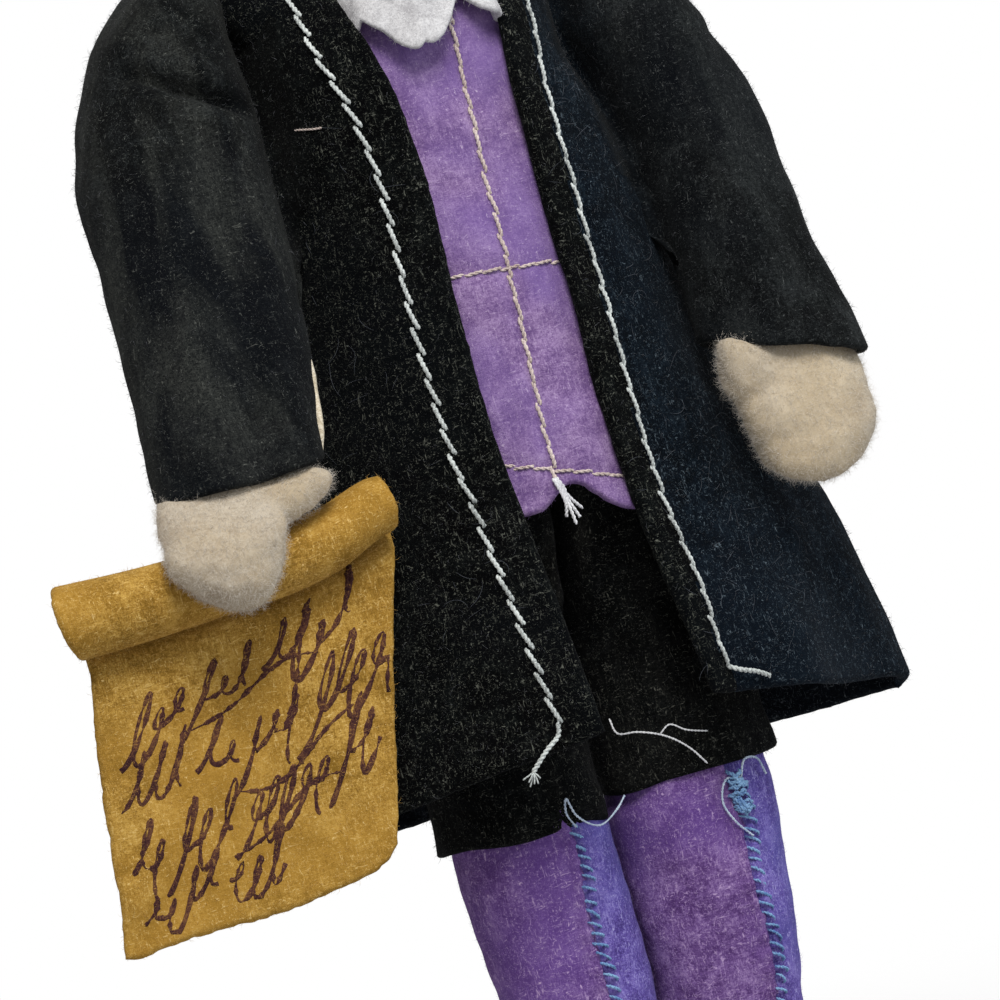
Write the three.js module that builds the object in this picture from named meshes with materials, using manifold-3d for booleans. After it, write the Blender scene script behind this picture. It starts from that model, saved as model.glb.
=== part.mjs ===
// Sewn felt doll ornament in old-fashioned dress: open coat, waistcoat, breeches, stockings and a felt scroll.
// Millimetres, +Z up, the doll faces -Y, its right hand (with the scroll) is on -X.
// Heights in this file are measured from the soles; the finished group is lowered so that the centre of the
// hanging eye on the crown is the origin.
import * as THREE from "three";
import { mergeVertices } from "three/addons/utils/BufferGeometryUtils.js";
import Module from "manifold-3d";

const wasm = await Module();
wasm.setup();

// ---------------------------------------------------------------- driving dimensions (mm)
const FELT = 1.5; // coat felt
const THIN_FELT = 1.2; // waistcoat, jabot and sleeve felt
const GAP = 0.3; // clearance between sewn layers
const SEAM_Y = 3.0; // side seams and shoulder seams of the coat lie on this plane
const SHOULDER_START = 120.0; // above this height the coat rounds over to the shoulder seam
const SHOULDER_TOP = 136.6;
const SHOULDER_TIP = 133.0;
const ARMHOLE_X = 17.9; // plane of the armhole seams
const SHOULDER_Z = 127.0; // arm swing axis
const SHOULDER_R = 9.3; // sleeve radius round that axis
const HIP_Z = 54.5;
const HIP_Y = -1.0;
const HIP_R = 8.6;
const LEG_X = 9.0;
const BREECHES_X = 9.3;
const BREECHES_HEM = 38.7;
const HEAD_Z = 155.5;
const HEAD_W = 15.5;
const HEAD_D = 15.8;
const HEAD_H = 19.0;
const HAIR = 2.4;
const EYE_RING = 4.1; // hanging eye, centre line radius
const EYE_THREAD = 0.6;
const EYE_Z = HEAD_Z + HEAD_H + HAIR + GAP + EYE_RING + EYE_THREAD;
const ROLL_R = 3.1; // scroll roll
const ROLL_A = new THREE.Vector3(-56.9, -15.5, 71.7);
const ROLL_B = new THREE.Vector3(-19.8, -15.5, 75.6);
const SHEET_Y = -13.1; // scroll sheet, middle of its thickness
const SHEET_T = 1.4;

// rows of [height, value]
const COAT_HALF_WIDTH = [[41, 37.8], [60, 32.8], [80, 27.4], [100, 22.0], [112, 18.5], [118, 17.4], [140, 17.4]];
const COAT_FRONT = [[41, 25.5], [70, 22.5], [100, 20.0], [118, 18.2], [127, 17.6], [140, 17.6]];
const COAT_BACK = [[41, 17.0], [70, 13.0], [100, 10.6], [118, 10.0], [127, 9.6], [140, 9.6]];
const COAT_P = [[41, 2.0], [95, 2.1], [118, 3.0], [140, 3.0]];
const COAT_Q = [[41, 1.05], [85, 1.15], [118, 2.0], [140, 2.0]];
const EDGE_RIGHT = [[41, 4.2], [48, 4.4], [60, 5.0], [71, 5.7], [81, 6.3], [93, 6.1], [107, 5.5], [115, 5.9], [121, 6.9], [130, 8.3], [140, 8.3]];
const EDGE_LEFT = [[41, 10.4], [48, 9.6], [58, 8.0], [69, 6.7], [81, 6.3], [94, 6.7], [103, 6.7], [113, 6.9], [121, 7.9], [130, 8.5], [140, 8.5]];
const TORSO_HALF_WIDTH = [[60, 12.0], [75, 12.3], [80, 13.2], [95, 13.6], [112, 14.4], [120, 14.8], [140, 14.8]];
const TORSO_BACK = [[60, 6.6], [75, 7.0], [82, 8.2], [100, 8.0], [118, 7.6], [140, 7.4]];
const STOCKING_W = [[9, 5.6], [14, 6.3], [19, 7.2], [30, 7.9], [36, 8.2], [38.2, 7.0], [44, 6.7], [60, 6.7]];

// ---------------------------------------------------------------- helpers
const V = (x, y, z) => new THREE.Vector3(x, y, z);
const rad = THREE.MathUtils.degToRad;
const mix = (a, b, t) => a + (b - a) * t;
const step01 = (a, b, v) => THREE.MathUtils.smoothstep(v, a, b);

// Smooth value of a table at height z.
function along(table, z) {
  const n = table.length;
  if (z <= table[0][0]) return table[0][1];
  if (z >= table[n - 1][0]) return table[n - 1][1];
  let i = 0;
  while (z > table[i + 1][0]) i++;
  const slope = (k) => (table[k + 1][1] - table[k][1]) / (table[k + 1][0] - table[k][0]);
  const tangent = (k) => {
    if (k === 0 || k === n - 1) return 0;
    const a = slope(k - 1), b = slope(k);
    return a * b <= 0 ? 0 : (2 * a * b) / (a + b);
  };
  const h = table[i + 1][0] - table[i][0], t = (z - table[i][0]) / h;
  const t2 = t * t, t3 = t2 * t;
  return (2 * t3 - 3 * t2 + 1) * table[i][1] + (t3 - 2 * t2 + t) * h * tangent(i)
    + (3 * t2 - 2 * t3) * table[i + 1][1] + (t3 - t2) * h * tangent(i + 1);
}

// One closed body: shared points joined, empty triangles dropped, faces turned outwards.
function closed(source) {
  const g = source.clone();
  for (const name of Object.keys(g.attributes)) if (name !== "position") g.deleteAttribute(name);
  const m = mergeVertices(g, 1e-3);
  const p = m.attributes.position, old = m.index.array, kept = [];
  const a = V(), b = V(), c = V();
  let volume = 0;
  for (let i = 0; i < old.length; i += 3) {
    const [i0, i1, i2] = [old[i], old[i + 1], old[i + 2]];
    if (i0 === i1 || i1 === i2 || i0 === i2) continue;
    kept.push(i0, i1, i2);
    volume += a.fromBufferAttribute(p, i0).dot(b.fromBufferAttribute(p, i1).cross(c.fromBufferAttribute(p, i2)));
  }
  if (volume < 0) for (let i = 0; i < kept.length; i += 3) [kept[i + 1], kept[i + 2]] = [kept[i + 2], kept[i + 1]];
  m.setIndex(kept);
  m.computeVertexNormals();
  return m;
}

// A skin of rings round an axis; the first and last ring are single points.
function skin(around, rings, at) {
  const profile = [];
  for (let j = 0; j < rings; j++) profile.push(new THREE.Vector2(j === 0 || j === rings - 1 ? 0 : 1, j));
  const g = new THREE.LatheGeometry(profile, around);
  const p = g.attributes.position;
  for (let i = 0; i <= around; i++)
    for (let j = 0; j < rings; j++) {
      const v = at(j, (i % around) / around);
      p.setXYZ(i * rings + j, v.x, v.y, v.z);
    }
  return closed(g);
}

// A sheet of felt: s across, t up, w through the thickness.
function sheet(across, up, at) {
  const g = new THREE.BoxGeometry(1, 1, 1, across, up, 1);
  const p = g.attributes.position;
  for (let i = 0; i < p.count; i++) {
    const v = at(p.getX(i) + 0.5, p.getY(i) + 0.5, p.getZ(i) + 0.5);
    p.setXYZ(i, v.x, v.y, v.z);
  }
  return closed(g);
}

// A round thread along points.
function thread(points, radius, sides, steps) {
  const ring = [];
  for (let i = 0; i < sides; i++) ring.push(new THREE.Vector2(radius * Math.cos((2 * Math.PI * i) / sides), radius * Math.sin((2 * Math.PI * i) / sides)));
  return closed(new THREE.ExtrudeGeometry(new THREE.Shape(ring), {
    steps, bevelEnabled: false, extrudePath: new THREE.CatmullRomCurve3(points, false, "centripetal"),
  }));
}

function solid(g) {
  const c = closed(g);
  return new wasm.Manifold(new wasm.Mesh({ numProp: 3, vertProperties: new Float32Array(c.attributes.position.array), triVerts: new Uint32Array(c.index.array) }));
}
function geometry(s) {
  const m = s.getMesh();
  const g = new THREE.BufferGeometry();
  g.setAttribute("position", new THREE.BufferAttribute(new Float32Array(m.vertProperties), 3));
  g.setIndex(new THREE.BufferAttribute(new Uint32Array(m.triVerts), 1));
  g.computeVertexNormals();
  return g;
}
const placed = (g, position, rotation = [0, 0, 0], scale = [1, 1, 1]) => g.applyMatrix4(new THREE.Matrix4().compose(
  V(...position), new THREE.Quaternion().setFromEuler(new THREE.Euler(...rotation)), V(...scale)));

// ---------------------------------------------------------------- materials
const felt = (color) => new THREE.MeshStandardMaterial({ color, roughness: 0.97, metalness: 0 });
const BLACK_FELT = 0x16181c, PURPLE = 0x805ca0, STOCKING = 0x6e4696, CREAM = 0xd7cdbe, WHITE = 0xe1dee1, MUSTARD = 0xbe9137;
const SILVER_THREAD = 0xcdcdc8, CREAM_THREAD = 0xcdbeaa, BLUE_THREAD = 0x5582b9, SKIN = 0xe3bfa0, WOOL = 0x8c847b;

const doll = new THREE.Group();
doll.position.z = -EYE_Z;
function piece(name, g, material) {
  const mesh = new THREE.Mesh(g, material);
  mesh.name = name;
  doll.add(mesh);
  return mesh;
}

// ---------------------------------------------------------------- coat surface
const shoulderLine = (x) => mix(SHOULDER_TOP, SHOULDER_TIP, step01(7, 18.5, Math.abs(x)));

// side -1 is the front, +1 the back; phi runs from -90 (doll's right) to 90 degrees; theta rounds over the shoulder.
function coat(side, phi, z, theta, inset) {
  const a = along(COAT_HALF_WIDTH, z) - inset * 1.25;
  const b = along(side < 0 ? COAT_FRONT : COAT_BACK, z) - inset;
  const p = along(COAT_P, z), q = along(COAT_Q, z);
  const s = Math.sin(phi), c = Math.max(0, Math.cos(phi));
  const x = a * Math.sign(s) * Math.abs(s) ** (2 / p);
  const up = theta > 0 ? SHOULDER_START + (shoulderLine(x) - inset - SHOULDER_START) * Math.sin(theta) : z;
  return V(x, SEAM_Y + side * (0.2 + (b - 0.2) * c ** (2 / q) * Math.cos(theta)), up);
}
const phiAt = (x, z, inset = 0) => Math.asin(Math.min(1, Math.abs(x) / (along(COAT_HALF_WIDTH, z) - inset * 1.25)) ** (along(COAT_P, z) / 2));

// Height and rounding angle at t from a lower edge to the top.
const T_SPLIT = 0.7;
const rise = (t, low, top) => (t <= T_SPLIT ? [mix(low, SHOULDER_START, t / T_SPLIT), 0] : [SHOULDER_START, (top * (t - T_SPLIT)) / (1 - T_SPLIT)]);
const heightOf = (z, theta) => (theta > 0 ? SHOULDER_START + (SHOULDER_TOP - SHOULDER_START) * Math.sin(theta) : z);

function coatFront(sign, edge) {
  return sheet(9, 14, (s, t, w) => {
    const low = 48.0 - 6.4 * s ** 0.8;
    const [z, theta] = rise(t, low, rad(90));
    const phi0 = phiAt(along(edge, heightOf(z, theta)), z);
    return coat(-1, sign * mix(phi0, Math.PI / 2, s), z, theta, FELT * w);
  });
}
piece("coat_front_right", coatFront(-1, EDGE_RIGHT), felt(BLACK_FELT));
piece("coat_front_left", coatFront(1, EDGE_LEFT), felt(BLACK_FELT));
piece("coat_back", sheet(16, 14, (s, t, w) => {
  const phi = mix(-Math.PI / 2, Math.PI / 2, s);
  const nearNeck = 1 - step01(8.6, 12.0, Math.abs(coat(1, phi, SHOULDER_START, 0, 0).x));
  const [z, theta] = rise(t, 41.2, mix(rad(90), rad(60), nearNeck));
  return coat(1, phi, z, theta, FELT * w);
}), felt(BLACK_FELT));

// Outward direction of the coat's front surface.
function coatNormal(phi, z, theta, inset) {
  const d = 1e-3, o = coat(-1, phi, z, theta, inset);
  const u = coat(-1, phi + d, z, theta, inset).sub(o);
  const v = (theta > 0 ? coat(-1, phi, z, theta + d, inset) : coat(-1, phi, z + d, theta, inset)).sub(o);
  const n = u.cross(v).normalize();
  return n.y > 0 ? n.negate() : n;
}
// A point lifted off the front surface, at x and height z.
function onFront(x, z, inset, lift) {
  const theta = z > SHOULDER_START ? Math.asin(Math.min(0.999, (z - SHOULDER_START) / (SHOULDER_TOP - inset - SHOULDER_START))) : 0;
  const zz = Math.min(z, SHOULDER_START);
  const phi = Math.sign(x) * phiAt(x, zz, inset);
  return coat(-1, phi, zz, theta, inset).addScaledVector(coatNormal(phi, zz, theta, inset), lift);
}

const STITCH_R = 0.45;
function coatStitch(sign, edge, offset) {
  const points = [];
  for (let i = 0; i <= 28; i++) {
    const z = mix(50.5, 131.5, i / 28);
    points.push(onFront(sign * (along(edge, z) + offset), z, 0, STITCH_R + 0.2));
  }
  return thread(points, STITCH_R, 5, 28);
}
piece("coat_stitching_right", coatStitch(-1, EDGE_RIGHT, 4.1), felt(SILVER_THREAD));
piece("coat_stitching_left", coatStitch(1, EDGE_LEFT, 3.0), felt(SILVER_THREAD));

// ---------------------------------------------------------------- waistcoat, jabot, torso
const WAISTCOAT_INSET = FELT + 0.4;
const waistHem = (x) => 70.0 + 3.4 * Math.exp(-(((x + 1.8) / 2.4) ** 2)) - 0.10 * x;
piece("waistcoat", sheet(10, 10, (s, t, w) => {
  const x = mix(-12.5, 12.5, s);
  const [z, theta] = rise(t, waistHem(x), rad(36));
  const inset = WAISTCOAT_INSET + THIN_FELT * w;
  return coat(-1, Math.sign(x) * phiAt(x, z, inset), z, theta, inset);
}), felt(PURPLE));

const waistLine = (z) => mix(-1.0, 2.5, (z - 72) / 49);
function waistThread(points) {
  return solid(thread(points.map(([x, z]) => onFront(x, z, WAISTCOAT_INSET, 0.4 + 0.15)), 0.4, 5, 12));
}
const centreRow = [];
for (let i = 0; i <= 12; i++) { const z = mix(74.2, 118.5, i / 12); centreRow.push([waistLine(z), z]); }
const upperRow = [], lowerRow = [];
for (let i = 0; i <= 8; i++) {
  upperRow.push([mix(-5.0, 5.6, i / 8), mix(96.7, 95.4, i / 8)]);
  lowerRow.push([mix(-4.8, 5.4, i / 8), mix(76.2, 72.6, i / 8)]);
}
piece("waistcoat_stitching", geometry(waistThread(centreRow).add(waistThread(upperRow)).add(waistThread(lowerRow))), felt(CREAM_THREAD));

piece("jabot", sheet(14, 3, (s, t, w) => {
  const x = mix(-6.4, 7.0, s);
  const lobe = Math.abs(Math.cos((Math.PI * (x + 1.6)) / 8.0)) ** 0.8;
  const low = 124.2 - (x > -5.6 && x < 2.4 ? 3.6 : 2.0) * lobe;
  const inset = 0.3 + THIN_FELT * w;
  const theta0 = Math.asin((low - SHOULDER_START) / (SHOULDER_TOP - SHOULDER_START));
  return coat(-1, Math.sign(x) * phiAt(x, SHOULDER_START, inset), SHOULDER_START, mix(theta0, rad(44), t), inset);
}), felt(WHITE));

function superellipse(u, a, front, back, p, q) {
  const s = Math.sin(2 * Math.PI * u), c = Math.cos(2 * Math.PI * u);
  return [a * Math.sign(s) * Math.abs(s) ** (2 / p), c >= 0 ? -front * c ** (2 / q) : back * Math.abs(c) ** (2 / q)];
}
const SEAT_BOTTOM = 63.6, SEAT_TOP = 77.5;
const seatFront = (z) => mix(14.8, along(COAT_FRONT, z) - 3.6, step01(60, 76, z));
piece("breeches_seat", skin(18, 12, (j, u) => {
  const outer = [SEAT_BOTTOM, SEAT_BOTTOM, SEAT_BOTTOM + 1.2, 68, 73, SEAT_TOP], inner = [SEAT_TOP, 73, 68, SEAT_BOTTOM + 2.4, SEAT_BOTTOM + 1.4, SEAT_BOTTOM + 1.4];
  const inside = j > 5, z = inside ? inner[j - 6] : outer[j];
  if (j === 0 || j === 11) return V(0, 0, z);
  const wall = inside ? 1.3 : 0, pinch = j === 1 || j === 10 ? 0.9 : 1;
  const [x, y] = superellipse(u, (14.6 - wall) * pinch, (seatFront(z) - wall) * pinch, (8.9 - wall) * pinch, 2.6, 2);
  return V(x, SEAM_Y + y, z);
}), felt(BLACK_FELT));

const TORSO_LOW = SEAT_BOTTOM + 1.8, TORSO_HIGH = 132.3;
piece("torso_core", skin(18, 14, (j, u) => {
  if (j === 0) return V(0, 0, TORSO_LOW);
  if (j === 13) return V(0, 1, TORSO_HIGH);
  const theta = j > 9 ? rad(90) * ((j - 9) / 4) : 0;
  const z = j === 1 ? TORSO_LOW : j <= 9 ? mix(TORSO_LOW + 1.5, SHOULDER_START, (j - 2) / 7) : SHOULDER_START;
  const k = j === 1 ? 0.85 : Math.cos(theta) ** 0.9;
  const front = Math.min(along(COAT_FRONT, z) - 5.4, z < 80 ? seatFront(z) - 1.8 : 99);
  const [x, y] = superellipse(u, along(TORSO_HALF_WIDTH, z) * (theta > 0 ? Math.cos(theta) ** 0.45 : k), front * k, along(TORSO_BACK, z) * k, 2.3, 2);
  return V(x, SEAM_Y + y, theta > 0 ? SHOULDER_START + (TORSO_HIGH - SHOULDER_START - 0.12 * Math.abs(x)) * Math.sin(theta) : z);
}), felt(CREAM));

piece("neck", placed(new THREE.CylinderGeometry(5.5, 5.5, 6.2, 20), [0, 0, 132.8 + 3.1], [Math.PI / 2, 0, 0]), felt(SKIN));
piece("neckband", placed(closed(new THREE.LatheGeometry([[5.9, 0], [7.0, 0], [7.3, 1.4], [7.1, 3.2], [5.9, 3.2], [5.9, 0]].map(([x, y]) => new THREE.Vector2(x, y)), 24)), [0, 0, 132.9], [Math.PI / 2, 0, 0]), felt(WHITE));

// ---------------------------------------------------------------- arms
// inner and outer edge of each sleeve, forward lean and half thickness by height; the cuff may slant.
const ARMS = {
  right: { sign: -1, inner: [[76, 25.4], [82, 24.4], [92, 22.0], [105, 19.5], [115, 18.3], [120, ARMHOLE_X], [140, ARMHOLE_X]],
    outer: [[76, 45.0], [82, 44.5], [105, 40.3], [120, 37.0], [127, 34.6], [140, 34.6]], lean: 0.36, cuff: () => 81.5 },
  left: { sign: 1, inner: [[76, 21.8], [82, 21.0], [92, 20.3], [105, 19.3], [115, 18.3], [120, ARMHOLE_X], [140, ARMHOLE_X]],
    outer: [[76, 37.6], [82, 37.3], [105, 35.3], [120, 32.3], [127, 30.8], [140, 30.8]], lean: 0.29, cuff: (x) => mix(82.6, 77.4, (x - 20.8) / 16.5) },
};
const SLEEVE_HALF_DEPTH = [[76, 5.8], [82, 5.8], [105, 7.0], [118, 8.8], [127, SHOULDER_R], [140, SHOULDER_R]];

function sleevePoint(arm, u, v, theta, wall) {
  const c = Math.cos(2 * Math.PI * u), s = Math.sin(2 * Math.PI * u);
  const guess = mix(arm.cuff((along(arm.inner, 82) + along(arm.outer, 82)) / 2 + (c * (along(arm.outer, 82) - along(arm.inner, 82))) / 2), SHOULDER_Z, v);
  const z = theta > 0 ? SHOULDER_Z : guess;
  const k = Math.cos(theta);
  const inner = along(arm.inner, z) + wall;
  const outer = mix(along(arm.inner, z), along(arm.outer, z), k ** 0.7) - wall * (theta > 0 ? k ** 0.3 : 1);
  const half = Math.max(0, outer - inner) / 2;
  const x = (inner + outer) / 2 + Math.sign(c) * Math.abs(c) ** 0.8 * half;
  const y = -(SHOULDER_Z - z) * arm.lean + Math.sign(s) * Math.abs(s) ** 0.85 * (along(SLEEVE_HALF_DEPTH, z) - wall) * k;
  return V(arm.sign * x, y, theta > 0 ? SHOULDER_Z + (SHOULDER_R + 0.2 - wall) * Math.sin(theta) : z);
}
for (const [name, arm] of Object.entries(ARMS)) {
  const pole = (wall) => V(arm.sign * (ARMHOLE_X + wall + 0.6), 0, SHOULDER_Z + SHOULDER_R + 0.2 - wall);
  const UP = 6, OVER = 3;
  piece("sleeve_" + name, skin(16, 2 * (UP + OVER + 1), (j, u) => {
    const half = UP + OVER + 1, inside = j >= half, k = inside ? 2 * half - 1 - j : j, wall = inside ? THIN_FELT : 0;
    if (k === 0) return pole(wall);
    return k <= OVER ? sleevePoint(arm, u, 1, rad(90) * (1 - k / (OVER + 1)), wall) : sleevePoint(arm, u, 1 - (k - OVER - 1) / (UP - 1), 0, wall);
  }), felt(BLACK_FELT));
  piece("arm_core_" + name, skin(16, 10, (j, u) => {
    const wall = THIN_FELT + GAP + 0.5;
    if (j === 0) { const t = rad(54), a = sleevePoint(arm, 0, 1, t, wall), b = sleevePoint(arm, 0.5, 1, t, wall); return a.add(b).multiplyScalar(0.5); }
    const v = (97 - 81.5) / (SHOULDER_Z - 81.5);
    if (j === 9) return V(arm.sign * (along(arm.inner, 97) + along(arm.outer, 97)) / 2, -(SHOULDER_Z - 97) * arm.lean, 97);
    if (j <= 3) return sleevePoint(arm, u, 1, rad(54) * (1 - (j - 1) / 3), wall);
    const q = sleevePoint(arm, u, mix(1, v, Math.min(1, (j - 4) / 4)), 0, wall);
    if (j === 8) q.z = 97;
    return q;
  }), felt(CREAM));
}

// Mitten hands: rows of [height, centre x, centre y, half width, half depth].
const HAND_RIGHT = [[66.3, -38.8, -22.7, 0, 0], [67.0, -38.8, -22.7, 3.0, 1.8], [68.6, -38.7, -22.6, 5.0, 2.7], [71.5, -38.6, -22.6, 6.1, 3.2], [75.0, -38.2, -22.4, 6.5, 3.3],
  [77.5, -37.2, -21.3, 6.6, 3.4], [79.5, -36.2, -19.3, 6.6, 3.4], [82.0, -35.2, -16.8, 6.8, 3.3], [86, -34.2, -14.9, 6.6, 3.4], [96.4, -31.5, -11.2, 5.6, 3.6], [96.5, -31.5, -11.2, 0, 0]];
const HAND_LEFT = [[65.0, 29.5, -17.6, 0, 0], [65.7, 29.5, -17.5, 3.4, 2.0], [67.4, 29.4, -17.1, 5.6, 3.4], [70.5, 29.3, -16.4, 7.0, 4.2], [74.0, 29.1, -15.4, 7.1, 4.3],
  [77.0, 29.1, -14.5, 6.5, 4.1], [80.0, 29.1, -13.6, 6.2, 4.0], [83.0, 29.1, -12.8, 6.0, 3.9], [90, 28.5, -10.7, 5.8, 4.0], [96.4, 27.8, -8.9, 5.2, 4.0], [96.5, 27.8, -8.9, 0, 0]];
function hand(rows, thumb) {
  const palm = skin(14, rows.length, (j, u) => {
    const [z, cx, cy, wx, wy] = rows[j], c = Math.cos(2 * Math.PI * u), s = Math.sin(2 * Math.PI * u);
    return V(cx + wx * Math.sign(c) * Math.abs(c) ** 0.85, cy + wy * Math.sign(s) * Math.abs(s) ** 0.85, z);
  });
  return geometry(solid(palm).add(solid(placed(new THREE.SphereGeometry(1, 10, 6), ...thumb))));
}
piece("hand_right", hand(HAND_RIGHT, [[-28.6, -19.0, 79.15], [0, rad(-6), 0], [5.6, 2.1, 1.8]]), felt(CREAM));
piece("hand_left", hand(HAND_LEFT, [[22.9, -14.6, 76.0], [0, rad(12), 0], [2.6, 2.4, 4.3]]), felt(CREAM));

// ---------------------------------------------------------------- scroll
const rollAxis = ROLL_B.clone().sub(ROLL_A), rollMid = ROLL_A.clone().add(ROLL_B).multiplyScalar(0.5);
const roll = new THREE.CylinderGeometry(ROLL_R, ROLL_R, rollAxis.length(), 18, 1);
roll.applyMatrix4(new THREE.Matrix4().makeRotationFromQuaternion(new THREE.Quaternion().setFromUnitVectors(V(0, 1, 0), rollAxis.clone().normalize())));
roll.translate(rollMid.x, rollMid.y, rollMid.z);
piece("scroll_roll", roll, felt(MUSTARD));
const rollZ = (x) => ROLL_A.z + ((x - ROLL_A.x) * rollAxis.z) / rollAxis.x;
piece("scroll_sheet", sheet(6, 5, (s, t, w) => {
  const top = V(mix(-55.6, -19.6, s), 0, 0);
  top.z = rollZ(top.x) - ROLL_R;
  const low = V(mix(-60.4, -29.2, s), 0, mix(36.9, 38.5, s) + 2.6 * Math.max(0, (s - 0.86) / 0.14) ** 2);
  const p = low.lerp(top, t);
  return V(p.x, SHEET_Y + SHEET_T * (0.5 - w) + 0.2 * Math.sin(Math.PI * t), p.z);
}), felt(MUSTARD));

// ---------------------------------------------------------------- legs
for (const [name, sign, seamAt] of [["right", -1, 16], ["left", 1, 20]]) {
  const bx = sign * BREECHES_X, lx = sign * LEG_X;
  const legRing = (z, cx, wx, wy, u, k = 1) => {
    const [x, y] = superellipse(u, wx * (k < 1 ? k ** 0.35 : 1), wy * k, wy * k, 2.2, 2.1);
    return V(cx + x, HIP_Y + y, z);
  };
  // breeches leg: closed, rounded about the hip line at the top, open at the hem
  const levels = [90, 68, 46, 23].map((d) => [HIP_Z + HIP_R * Math.sin(rad(d)), Math.cos(rad(d))]).concat([[HIP_Z, 1], [46, 1], [BREECHES_HEM, 1]]);
  const N = levels.length;
  piece("breeches_leg_" + name, skin(16, 2 * N, (j, u) => {
    const inside = j >= N, [z0, k] = levels[inside ? 2 * N - 1 - j : j], wall = inside ? 1.2 : 0;
    const z = z0 > HIP_Z ? HIP_Z + (z0 - HIP_Z) * ((HIP_R - wall) / HIP_R) : z0;
    if (k < 1e-6) return V(bx, HIP_Y, z);
    return legRing(z, bx, 8.95 - wall, HIP_R - wall + 0.3 * step01(52, 40, z), u, k);
  }), felt(BLACK_FELT));
  // stuffed stocking leg
  const legLevels = [[9.5, 0], [9.5, 1], [14, 1], [20, 1], [28, 1], [36, 1], [38.2, 1], [46, 1], [53, 1], [56.5, 0.86], [58.8, 0.55], [59.8, 0]];
  piece("stocking_" + name, skin(16, legLevels.length, (j, u) => {
    const [z, k] = legLevels[j];
    if (k === 0) return V(lx, HIP_Y, z);
    const w = along(STOCKING_W, z);
    return legRing(z, lx, w * k, w * k * 0.98, u);
  }), felt(STOCKING));
  // whip-stitched seam down the front of the leg
  const seam = [], turns = 22;
  for (let i = 0; i <= turns; i++) {
    const z = mix(12.0, 36.2, i / turns), w = along(STOCKING_W, z), psi = rad(seamAt) + (i % 2 ? 0.1 : -0.1);
    const u = psi / (2 * Math.PI);
    const p = legRing(z, lx, w, w * 0.98, u), n = V(p.x - lx, p.y - HIP_Y, 0).normalize();
    seam.push(p.addScaledVector(n, 0.62));
  }
  piece("stocking_seam_" + name, thread(seam, 0.35, 4, 44), felt(BLUE_THREAD));
  // shoe: sole, upper, buckle
  const outline = [];
  for (let i = 0; i < 20; i++) {
    const a = (2 * Math.PI * i) / 20, y = Math.cos(a);
    outline.push(new THREE.Vector2(lx + 6.3 * Math.sin(a) * (1 - 0.1 * Math.max(0, y)), -4.2 - 11.4 * y));
  }
  const sole = new THREE.ExtrudeGeometry(new THREE.Shape(outline), { depth: 1.4, bevelEnabled: false });
  piece("sole_" + name, closed(sole), felt(0x2a211c));
  const shoeLevels = [[1.7, 0], [1.7, 1], [3.0, 1.0], [4.6, 0.95], [6.2, 0.8], [7.6, 0.68], [9.2, 0.6], [9.2, 0]];
  piece("shoe_" + name, skin(16, shoeLevels.length, (j, u) => {
    const [z, k] = shoeLevels[j];
    const s = Math.sin(2 * Math.PI * u), c = Math.cos(2 * Math.PI * u);
    const front = mix(5.4, 15.2, (k - 0.6) / 0.4), back = 6.9 - 0.8 * (1 - k);
    if (k === 0) return V(lx, -2, z);
    return V(lx + (6.1 - 0.8 * (1 - k)) * s, c >= 0 ? -front * c : -back * c, z);
  }), felt(0x101012));
  const frame = new THREE.Shape([[-2.6, -2.0], [2.6, -2.0], [2.6, 2.0], [-2.6, 2.0]].map(([x, y]) => new THREE.Vector2(x, y)));
  frame.holes.push(new THREE.Path([[-1.7, -1.1], [-1.7, 1.1], [1.7, 1.1], [1.7, -1.1]].map(([x, y]) => new THREE.Vector2(x, y))));
  const buckle = new THREE.ExtrudeGeometry(frame, { depth: 0.7, bevelEnabled: false });
  piece("buckle_" + name, closed(placed(buckle, [lx, -11.1, 7.0], [rad(27), 0, 0])), new THREE.MeshStandardMaterial({ color: 0xb89448, roughness: 0.35, metalness: 1 }));
}

// ---------------------------------------------------------------- head and hair
function headPoint(polar, az, grow) {
  const s = Math.sin(polar), c = Math.cos(polar);
  const jaw = c < 0 ? 1 - 0.13 * c * c : 1;
  return V((HEAD_W + grow) * s * Math.sin(az) * jaw, -(HEAD_D + grow) * s * Math.cos(az) * (c < 0 ? 1 - 0.05 * c * c : 1), HEAD_Z + (HEAD_H + grow) * c);
}
const skull = skin(20, 13, (j, u) => headPoint((Math.PI * j) / 12, 2 * Math.PI * u, 0));
const socket = placed(new THREE.CylinderGeometry(6.1, 6.1, 12, 20), [0, 0, 139.4 - 6], [Math.PI / 2, 0, 0]);
piece("head_ball", geometry(solid(skull).subtract(solid(socket))), felt(SKIN));

const rim = (az) => { const front = 0.5 + 0.5 * Math.cos(az); return rad(mix(124, 56, front ** 0.8)); };
piece("hair_cap", skin(20, 12, (j, u) => {
  const az = 2 * Math.PI * u, inside = j > 5, k = inside ? 11 - j : j;
  return headPoint((rim(az) * k) / 5, az, inside ? 0.6 : k === 5 ? HAIR - 0.7 : HAIR);
}), felt(WOOL));
for (const [name, sign] of [["right", -1], ["left", 1]])
  piece("hair_roll_" + name, closed(placed(new THREE.CapsuleGeometry(2.6, 8, 3, 12), [sign * 17.2, 1.0, 148.8])), felt(WOOL));
const QUEUE = [[124.0, 17.9, 0], [124.8, 17.8, 1.0], [127, 17.6, 1.7], [132, 17.0, 2.2], [136, 16.2, 2.1], [139, 15.7, 1.8], [141, 15.5, 2.0], [142.0, 15.4, 1.4], [142.4, 15.4, 0]];
piece("hair_queue", skin(12, QUEUE.length, (j, u) => {
  const [z, y, r] = QUEUE[j];
  return V(r * Math.sin(2 * Math.PI * u), y - r * Math.cos(2 * Math.PI * u), z);
}), felt(WOOL));
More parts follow.
